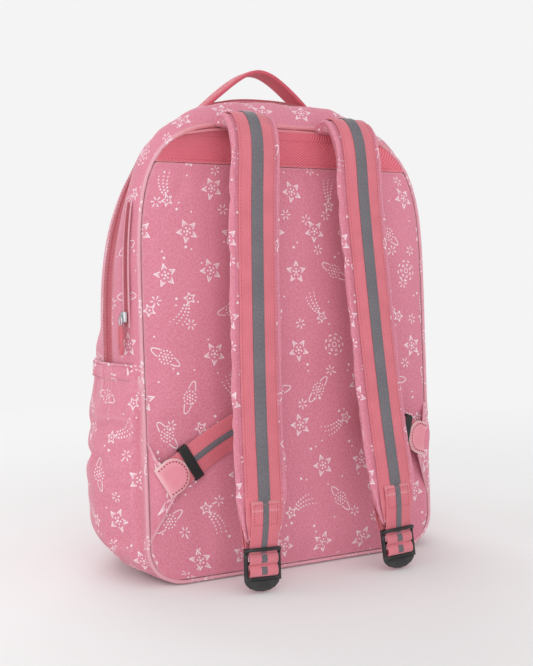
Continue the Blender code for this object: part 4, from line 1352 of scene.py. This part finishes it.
def make_strap_end(word, side):
    """Tab looped round the lock's top bar, and the adjuster webbing that the lock grips."""
    axes = strap_end(side)
    across = axes.to_3x3() @ Y
    outward = axes.to_3x3() @ Z
    bar = 0.0090
    top = [(-0.0325, 0.0092), (-0.026, 0.0096), (-0.018, 0.0092), (-0.010, 0.0080), (0.001, 0.0056)]
    loop = arc_points((bar, 0.0), 0.0037, 72, -75, 14) + [(0.004, -0.0042), (-0.004, -0.0058)]
    tab = smooth_path(in_frame(axes, top + loop), 3)
    body = word + "_strap"
    cloth = strip(word + "_tab_cloth", tab, across, TAB_WIDTH, TAB_THICK, "webbing")
    place(cloth, body, word + "_strap_tab")
    fold = smooth_path(in_frame(axes, [(-0.0335, 0.0082), (-0.0315, 0.0101), (-0.0245, 0.0103)]), 4)
    place(strip(word + "_tab_fold", fold, across, 0.0275, 0.0007, "webbing"), body)
    centre = [p + outward * 0.0012 for p in smooth_path(in_frame(axes, top + loop[:8]), 4)]
    place(strip(word + "_tab_stripe", centre, across, SMALL_STRIPE, SMALL_STRIPE_THICK, "stripe"), body)

    def on_tab(along, wide):
        height = 0.0109 if along < -0.024 else lerp(0.0092, 0.0104, clamp((-along - 0.010) / 0.010))
        return axes @ Vector((along, wide, height))

    corners = [(-0.0305, -0.0115), (-0.0305, 0.0115), (-0.0130, 0.0115), (-0.0130, -0.0115)]
    box = []
    for (a0, w0), (a1, w1) in zip(corners, corners[1:] + corners[:1]):
        box += [on_tab(lerp(a0, a1, t), lerp(w0, w1, t)) for t in steps(0, 1, 9)[:-1]]
    runs = [(box, outward, True)]
    place(stitches(word + "_tab_stitching", runs, "coral_thread", pitch=0.0027, dash=0.0019), body)
    over = [p + outward * 0.0007 for p in fold]
    place(strip(word + "_tab_fold_stripe", over, across, SMALL_STRIPE, SMALL_STRIPE_THICK, "stripe"), body)

    tail = [(-0.030, -0.0135), (-0.018, -0.0120), (-0.006, -0.0105), (0.006, -0.0078), (0.0102, -0.0040)]
    tail += [(0.0116, 0.0006), (0.0132, 0.0038), (0.0166, 0.0050), (0.0200, 0.0042), (0.0219, 0.0018)]
    tail += [(0.0236, 0.0034), (0.0268, 0.0046), (0.0304, 0.0038), (0.0322, 0.0008), (0.0312, -0.0024)]
    tail += [(0.0270, -0.0040)]
    body = word + "_lock"
    path = smooth_path(in_frame(axes, tail), 5)
    cloth = strip(word + "_adjuster_cloth", path, across, ADJUSTER_WIDTH, ADJUSTER_THICK, "webbing")
    place(cloth, body, word + "_adjuster_webbing")
    for name, first, last in (("upper", 6, 9), ("lower", 10, 13)):
        roll = smooth_path(in_frame(axes, [(a, out + 0.0009) for a, out in tail[first:last]]), 5)
        place(strip(f"{word}_adjuster_{name}_stripe", roll, across, SMALL_STRIPE, 0.0006, "stripe"), body)

    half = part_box(word + "_ladder_lock")[1].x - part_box(word + "_ladder_lock")[0].x
    rail = half / 2 - 0.0017
    corners = [(0.0150, rail, 0.0008), (0.0105, rail, 0.0022), (0.0088, rail - 0.0008, 0.0050)]
    corners += [(0.0084, rail - 0.0040, 0.0066), (0.0084, 0.0, 0.0068)]
    points = corners + [(a, -w, out) for a, w, out in reversed(corners[:-1])]
    bar_path = smooth_path([axes @ Vector(point) for point in points], 5)
    place(tube(word + "_lock_top_bar", bar_path, 0.0017, "plastic", sides=12), body)
    for name, sign in (("left", -1), ("right", 1)):
        line = [axes @ Vector((a, sign * rail, 0.0012)) for a in steps(0.012, 0.036, 12)]
        place(tube(f"{word}_lock_{name}_rail", line, 0.0019, "plastic", sides=12), body)
    ribs = []
    for k in range(5):
        spot = axes @ Vector((0.0364 + 0.0012 * k, 0, 0.0018))
        ribs.append((spot, across, axes.to_3x3() @ X, outward))
    place(bars(word + "_lock_ribs", ribs, (0.017, 0.0006, 0.0007), "plastic"), body)
    lip = [axes @ Vector((0.0340, w, 0.0014)) for w in steps(-rail, rail, 16)]
    place(tube(word + "_lock_lip_bar", lip, 0.0021, "plastic", sides=12), body)


# ---------------------------------------------------------------- lower anchors

ANCHOR_LIFT, PATCH_RADIUS, PATCH_SHIFT = 0.0058, 0.0155, 0.0112
KEEPER_ALONG, KEEPER_LIFT = 0.0325, 0.0082
RISE = {"left": math.radians(31), "right": math.radians(20)}
FLARE = {"left": 0.0, "right": math.radians(16)}
ANCHOR_REACH = 0.0055
LOWER_CLIMB = {"left": 0.0185, "right": 0.0030}
# (scale, height) of the leatherette patch, from its underside to the middle of its face
PATCH_LAYERS = (
    (1.0, 0.0090), (1.0, 0.0103), (0.985, 0.0110), (0.95, 0.0113), (0.6, 0.0116), (0.02, 0.0117),
)


def anchor_frame(word, side):
    """X runs up and inward along the lower webbing, Y across it, and Z points outward."""
    seam = Vector(JOINTS[word + "_anchor_swing"]["pos_m"])
    rise, flare = RISE[word], FLARE[word]
    inward = Vector((-side * math.cos(flare), -math.sin(flare), 0))
    outward = Vector((side * math.sin(flare), -math.cos(flare), PANEL_LEAN))
    along = (inward * math.cos(rise) + Vector((0, PANEL_LEAN, 1)) * math.sin(rise)).normalized()
    origin = seam + inward * ANCHOR_REACH - outward.normalized() * ANCHOR_LIFT
    normal = along.cross(outward.cross(along)).normalized()
    matrix = Matrix((along, normal.cross(along), normal)).transposed().to_4x4()
    matrix.translation = origin
    return matrix, seam


def make_anchor(word, side):
    body = word + "_anchor"
    axes, seam = anchor_frame(word, side)
    across, outward = axes.to_3x3() @ Y, axes.to_3x3() @ Z
    tips = [axes @ Vector((0.006, y, ANCHOR_LIFT + 0.0020)) for y in (0.0155, -0.0155)]
    upper, lower = sorted(tips, key=lambda point: -point.z)
    outer = []
    for rise in (0.036, -0.052):
        z = seam.z + rise
        outer.append(Vector((side * (panel_half(z, 0.0022)), panel_y(z) + 0.0004, z)))
    bulge = 0.0075 if word == "right" else 0.0030
    rows = []
    for t in steps(0, 1, 30):
        low, high = outer[1].lerp(lower, t), outer[0].lerp(upper, t)
        row = []
        for k in steps(0, 1, 30):
            point = low.lerp(high, k)
            puffed = math.sin(math.pi * t) ** 0.7 * math.sin(math.pi * k) ** 0.6
            folds = ripple(point, 48, 0.0016, side) * puffed
            row.append(point + outward * (bulge * puffed + folds + 0.0008))
        rows.append(row)
    tab = grid_cloth(word + "_anchor_cloth", rows, thickness=0.0022, lining=False)
    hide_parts(word + "_anchor_tab")
    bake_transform(tab)
    for name, k in (("upper", 29), ("lower", 0)):
        edge = [row[k] - outward * 0.0006 for row in rows]
        fold = tube(f"{word}_anchor_{name}_fold", edge, 0.0011, "plain")
        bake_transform(fold)

    webbing = [(0.006, 0.0084), (0.015, 0.0082), (0.023, 0.0080), (0.027, KEEPER_LIFT)]
    for along, share in ((0.045, 0.0), (0.062, 0.04), (0.078, 0.24), (0.090, 0.54), (0.100, 0.86)):
        webbing.append((along, KEEPER_LIFT + share * LOWER_CLIMB[word]))
    path = smooth_path(in_frame(axes, webbing), 5)
    cloth = strip(word + "_lower_webbing_cloth", path, across, LOWER_WIDTH, LOWER_THICK, "webbing")
    place(cloth, body, word + "_lower_webbing")
    over = [p + outward * 0.0010 for p in path if (axes.inverted() @ p).x > 0.024]
    place(strip(word + "_lower_stripe", over, across, SMALL_STRIPE, SMALL_STRIPE_THICK, "stripe"), body)

    rounded = arc_points((PATCH_SHIFT, 0), PATCH_RADIUS, -86, 86, 40)
    rim = [(-0.0006, -0.0146)] + rounded + [(-0.0006, 0.0146)]

    def scaled(scale, out):
        """The patch's outline, drawn in about its centre."""
        return [axes @ Vector((lerp(PATCH_SHIFT, x, scale), y * scale, out)) for x, y in rim]

    rings = [scaled(*layer) for layer in PATCH_LAYERS]
    patch = capped(rings, lambda i, j: (j * 0.002, i * 0.003))
    place(solid(word + "_patch_leather", patch, "leather", 45), body, word + "_anchor_patch")
    place(tube(word + "_patch_edge", scaled(1.012, 0.0098), 0.0006, "cream"), body)
    runs = [(scaled(0.87, 0.0115), outward, False)]
    place(stitches(word + "_patch_stitching", runs, radius=THICK_THREAD), body)


def make_keeper(word, side):
    """Moulded loop with ridges across its face, open where the webbing runs through."""
    axes = anchor_frame(word, side)[0]
    along, across, outward = (axes.to_3x3() @ axis for axis in (X, Y, Z))
    half, deep, radius = 0.0168, 0.0028, 0.0020
    ring = []
    for sx, sz, start in ((1, 1, 90), (1, -1, 0), (-1, -1, -90), (-1, 1, -180)):
        for angle in steps(start, start - 90, 7):
            a = math.radians(angle)
            y = sx * (half - radius) + radius * math.cos(a)
            z = sz * (deep - radius) + radius * math.sin(a)
            ring.append(axes @ Vector((KEEPER_ALONG, y, KEEPER_LIFT + z)))
    middle = axes @ Vector((KEEPER_ALONG, 0, KEEPER_LIFT))
    width, count = 0.0095, 4
    rows = []
    for point in ring:
        away = (point - middle) - (point - middle).project(along)
        facing = outward * (1 if away.dot(outward) > 0 else -1)
        if abs(away.dot(across)) > half - radius:
            facing = away.normalized()
        row = []
        for t in steps(0, 1, 49):
            edge = 0.0007 * (1 - clamp(min(t, 1 - t) / 0.06))
            ridge = 0.0008 * (0.5 - 0.5 * math.cos(2 * math.pi * count * t)) ** 0.7 - edge
            row.append(point + along * (t - 0.5) * width + facing * ridge)
        for t in (1, 0):
            row.append(point + along * (t - 0.5) * width - facing * 0.0011)
        rows.append(row)
    moulding = solid(word + "_keeper_moulding", looped(rows), "plastic", 50)
    place(moulding, word + "_keeper", word + "_strap_keeper")


# ---------------------------------------------------------------- handle, sliders, inside


def make_handle():
    low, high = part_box("carry_handle")
    centre, foot_z = (low.x + high.x) / 2 + 0.0028, JOINTS["carry_handle_swing"]["pos_m"][2]
    span, rounding, width = (high.x - low.x) / 2 - 0.0012, 0.42, high.y - low.y
    middle = (low.y + high.y) / 2
    crown, foot = high.z - 0.0016 - foot_z, math.hypot(1, rounding)
    path, sizes = [], []
    for angle in steps(0, math.pi, 70):
        side = -math.cos(angle)
        rise = (foot - math.hypot(side, rounding)) / (foot - rounding)
        path.append(Vector((centre + span * side, middle, foot_z - 0.0015 + (crown + 0.0015) * rise)))
        sizes.append(width * 0.84 * lerp(0.92 if side > 0 else 0.86, 1.0, soft(rise / 0.5)))

    def section(t):
        w = sizes[round(t * (len(sizes) - 1))]
        rolled = []
        for x, y in strip_profile(w, 0.0030, corner=4):
            roll = 0.0009 * math.exp(-(((abs(x) - w / 2 + 0.0022) / 0.0016) ** 2))
            rolled.append((x, y + math.copysign(roll, y)))
        return rolled

    handle = solid("handle_webbing", sweep(path, [Y] * len(path), section), "webbing", 60)
    place(handle, "carry_handle", "carry_handle", smooth=1)
    runs = []

    def handle_facing(p):
        return (p - Vector((centre, p.y, foot_z))).normalized()

    for edge in (-1, 1):
        line = [p + Y * edge * (sizes[i] / 2 - 0.0044) for i, p in enumerate(path)][3:-3]
        over = [p + handle_facing(p) * 0.0018 for p in line]
        under = [p - handle_facing(p) * 0.0018 for p in line]
        runs += [(over, handle_facing, False), (under, lambda p: -handle_facing(p), False)]
    place(stitches("handle_stitching", runs, "coral_thread", radius=FINE_THREAD), "carry_handle")


SLIDERS = ("main_zip_upper", "main_zip_lower", "lower_pocket_zip", "upper_pocket_zip", "side_zip")
# (inset, height) of the puller tab's rounded section
PULLER_LAYERS = ((0.0010, -0.0014), (0.0002, -0.0009), (0.0, 0.0), (0.0002, 0.0009), (0.0010, 0.0014))
PULLER_FROM = 0.007


def make_puller(name):
    """Cord loop from the slider's bridge with a moulded, ribbed tab on its end."""
    body = name + "_puller"
    low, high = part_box(body)
    pivot = Vector(JOINTS[name + "_puller_flip"]["pos_m"])
    spread = [high[i] - low[i] for i in range(3)]
    longest = spread.index(max(spread))
    end = Vector(pivot)
    hangs_low = pivot[longest] - low[longest] > high[longest] - pivot[longest]
    end[longest] = low[longest] if hangs_low else high[longest]
    hang = (end - pivot).normalized()
    axis = Vector(JOINTS[name + "_puller_flip"]["axis"]).normalized()
    outward = axis.cross(hang).normalized()
    reach = (end - pivot).length

    def at(along, wide, out=0.0):
        return pivot + hang * along + axis * wide + outward * out

    ring = [at(0.0035 + 0.0050 * math.cos(a), 0.0026 * math.sin(a)) for a in steps(0, 2 * math.pi, 25)[:-1]]
    place(tube(body + "_ring", ring, 0.00065, "metal", closed=True), body)
    rows = []
    for inset, out in PULLER_LAYERS:
        outline = []
        for k in steps(0, 2 * math.pi, 37)[:-1]:
            c, s = math.cos(k), math.sin(k)
            wide = (0.0037 - inset) * math.copysign(abs(s) ** 0.55, s) * (1.08 - 0.18 * c)
            middle_along, half_along = lerp(PULLER_FROM, reach, 0.5), (reach - PULLER_FROM) / 2 - inset
            outline.append(at(middle_along + half_along * math.copysign(abs(c) ** 0.6, c), wide, out))
        rows.append(outline)
    tab = capped(rows, lambda i, j: (0.0, 0.0))
    place(solid(body + "_tab", tab, "tab_plastic", 60), body, body)
    ribs = []
    for k in range(6):
        for sign in (-1, 1):
            ribs.append((at(0.014 + 0.0026 * k, 0, sign * 0.0015), axis, hang, outward * sign))
    place(bars(body + "_ribs", ribs, (0.0048, 0.0010, 0.0008), "tab_plastic"), body)


def make_inside():
    """Quilted sleeve, bound edge, foam sheet and covered base board, seen when the flap opens."""

    def block_rows(node, gap, quilt):
        """Rows of a flat piece that hangs a gap behind the back panel."""
        low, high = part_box(node)
        rows = []
        for z in steps(low.z, high.z, 70):
            half, y = min(high.x, panel_half(z, 0.022)), panel_y(z) + gap
            rows.append([Vector((k * half, y + quilt(k * half, z), z)) for k in steps(-1, 1, 50)])
        return rows

    def quilting(x, z):
        near = min(abs(((x + z) / 0.045) % 1 - 0.5), abs(((x - z) / 0.045) % 1 - 0.5))
        return 0.0016 * soft((0.5 - near) / 0.5) ** 0.3 - 0.0008

    rows = block_rows("laptop_sleeve", 0.0185, quilting)
    sleeve = grid_cloth("sleeve_cloth", rows, "lining", 0.0022, lining=False)
    place(sleeve, "bag", "laptop_sleeve")
    rows = block_rows("back_foam", 0.0135, lambda x, z: 0.0)
    foam = grid_cloth("back_lining", rows, "lining", 0.0040, lining=False)
    place(foam, "bag", "back_foam")
    low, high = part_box("sleeve_binding")
    line = [Vector((x, (low.y + high.y) / 2, (low.z + high.z) / 2)) for x in steps(low.x, high.x, 40)]
    binding = strip("sleeve_binding_tape", line, Z, high.z - low.z, 0.0046, "tape")
    place(binding, "bag", "sleeve_binding")
    low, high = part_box("base_board")
    rows = [
        [Vector((x, y, high.z + ripple(Vector((x, y, 0)), 30, 0.0004))) for x in steps(low.x, high.x, 40)]
        for y in steps(low.y, high.y, 30)
    ]
    board = grid_cloth("base_board_cover", rows, "lining", 0.0020, lining=False)
    place(board, "bag", "base_board")


def dress_frame():
    """Finer materials and softened edges on the moulded and cast CAD nodes that stay in view."""
    for word in SIDES:
        finish_node(word + "_ladder_lock", "plastic", 0.0006)
    for name in SLIDERS:
        finish_node(name + "_slider", "metal", 0.0004)


def finish_node(node, key, width):
    obj = frame["nodes"][node]
    for slot in obj.material_slots:
        slot.material = MATERIALS[key]
    if not obj.material_slots:
        obj.data.materials.append(MATERIALS[key])
    bevel = obj.modifiers.new("Soft edges", "BEVEL")
    bevel.width = width
    bevel.segments = 2
    bevel.limit_method = "ANGLE"
    bevel.angle_limit = math.radians(35)


# ---------------------------------------------------------------- studio


ROOM_LIGHT, BACKDROP = 0.55, 0.905
FLOOR_REACH, FLOOR_DROP = 7.0, 0.0005
FADE_FROM, FADE_OVER = 0.55, 0.75
LAMPS = (
    ("key", (-1.1, -2.2, 0.9), (0, 0, 0.22), 2.4, 29),
    ("fill", (0.9, -2.3, 0.7), (0, 0, 0.18), 2.4, 10),
    ("side", (-2.2, 0.2, 0.9), (0, 0, 0.22), 1.8, 13),
    ("back", (0.4, 2.0, 1.6), (0, 0, 0.25), 2.0, 22),
    ("top", (0, 0, 2.4), (0, 0, 0.3), 1.6, 6),
)
CAMERA_PLACE, CAMERA_LENS = (-0.536, -0.983, 0.280), 59.3
CAMERA_YAW, CAMERA_PITCH, CAMERA_ROLL = (math.radians(angle) for angle in (29.44, -3.13, -0.53))


def lamp(name, place_at, target, size, power):
    light = bpy.data.lights.new(name, "AREA")
    light.size = size
    light.energy = power
    obj = bpy.data.objects.new(name, light)
    obj.location = place_at
    obj.rotation_euler = (Vector(target) - Vector(place_at)).to_track_quat("-Z", "Y").to_euler()
    bpy.context.scene.collection.objects.link(obj)


def studio():
    scene = bpy.context.scene
    scene.view_settings.view_transform = "Standard"
    world = bpy.data.worlds.new("studio")
    scene.world = world
    world.use_nodes = True
    nodes, links = world.node_tree.nodes, world.node_tree.links
    background = nodes["Background"]
    mix = nodes.new("ShaderNodeMix")
    mix.data_type = "FLOAT"
    links.new(nodes.new("ShaderNodeLightPath").outputs["Is Camera Ray"], mix.inputs[0])
    mix.inputs[2].default_value, mix.inputs[3].default_value = ROOM_LIGHT, BACKDROP
    links.new(mix.outputs[0], background.inputs["Strength"])
    background.inputs["Color"].default_value = (1.0, 1.0, 1.0, 1.0)

    floor = bpy.data.meshes.new("studio_floor")
    ring = [
        (FLOOR_REACH * math.cos(a), FLOOR_REACH * math.sin(a), -FLOOR_DROP)
        for a in steps(0, 2 * math.pi, 65)[:-1]
    ]
    floor.from_pydata(ring, [], [tuple(range(len(ring)))])
    net = Net("studio_floor")
    parts = net.node("ShaderNodeSeparateXYZ")
    net.tree.links.new(net.node("ShaderNodeTexCoord").outputs["Object"], parts.inputs[0])
    away = length(Num(net, parts.outputs[0]), Num(net, parts.outputs[1]))
    far = ((away - FADE_FROM) / FADE_OVER).max(0.0).min(1.0)
    pale = net.mix(net.noise(3.0), (0.86, 0.86, 0.86), (0.88, 0.88, 0.88))
    floor.materials.append(net.finish(net.mix(far, pale, (0.0, 0.0, 0.0)), 0.9))
    net.shader.inputs["Specular IOR Level"].default_value = 0.0
    net.shader.inputs["Emission Color"].default_value = (1.0, 1.0, 1.0, 1.0)
    net.feed(net.shader.inputs["Emission Strength"], far * BACKDROP)
    obj = bpy.data.objects.new("studio_floor", floor)
    scene.collection.objects.link(obj)

    for settings in LAMPS:
        lamp(*settings)

    yaw, pitch, roll = CAMERA_YAW, CAMERA_PITCH, CAMERA_ROLL
    view = Vector((math.sin(yaw) * math.cos(pitch), math.cos(yaw) * math.cos(pitch), math.sin(pitch)))
    right = Vector((math.cos(yaw), -math.sin(yaw), 0))
    up = right.cross(view)
    c, s = math.cos(roll), math.sin(roll)
    columns = (right * c + up * s, up * c - right * s, -view)
    camera = bpy.data.objects.new("camera", bpy.data.cameras.new("camera"))
    camera.data.lens = CAMERA_LENS
    camera.matrix_world = Matrix.Translation(CAMERA_PLACE) @ Matrix(columns).transposed().to_4x4()
    scene.collection.objects.link(camera)
    scene.camera = camera


def build():
    make_back()
    make_gusset()
    make_sides()
    make_front()
    make_side_pockets()
    make_side_zip()
    make_front_pocket("lower_pocket", "bag")
    make_front_pocket("upper_pocket", "front_flap")
    for word, side in SIDES.items():
        make_strap(word, side)
        make_strap_end(word, side)
        make_anchor(word, side)
        make_keeper(word, side)
    make_handle()
    for name in SLIDERS:
        make_puller(name)
    make_inside()
    dress_frame()
    studio()


build()
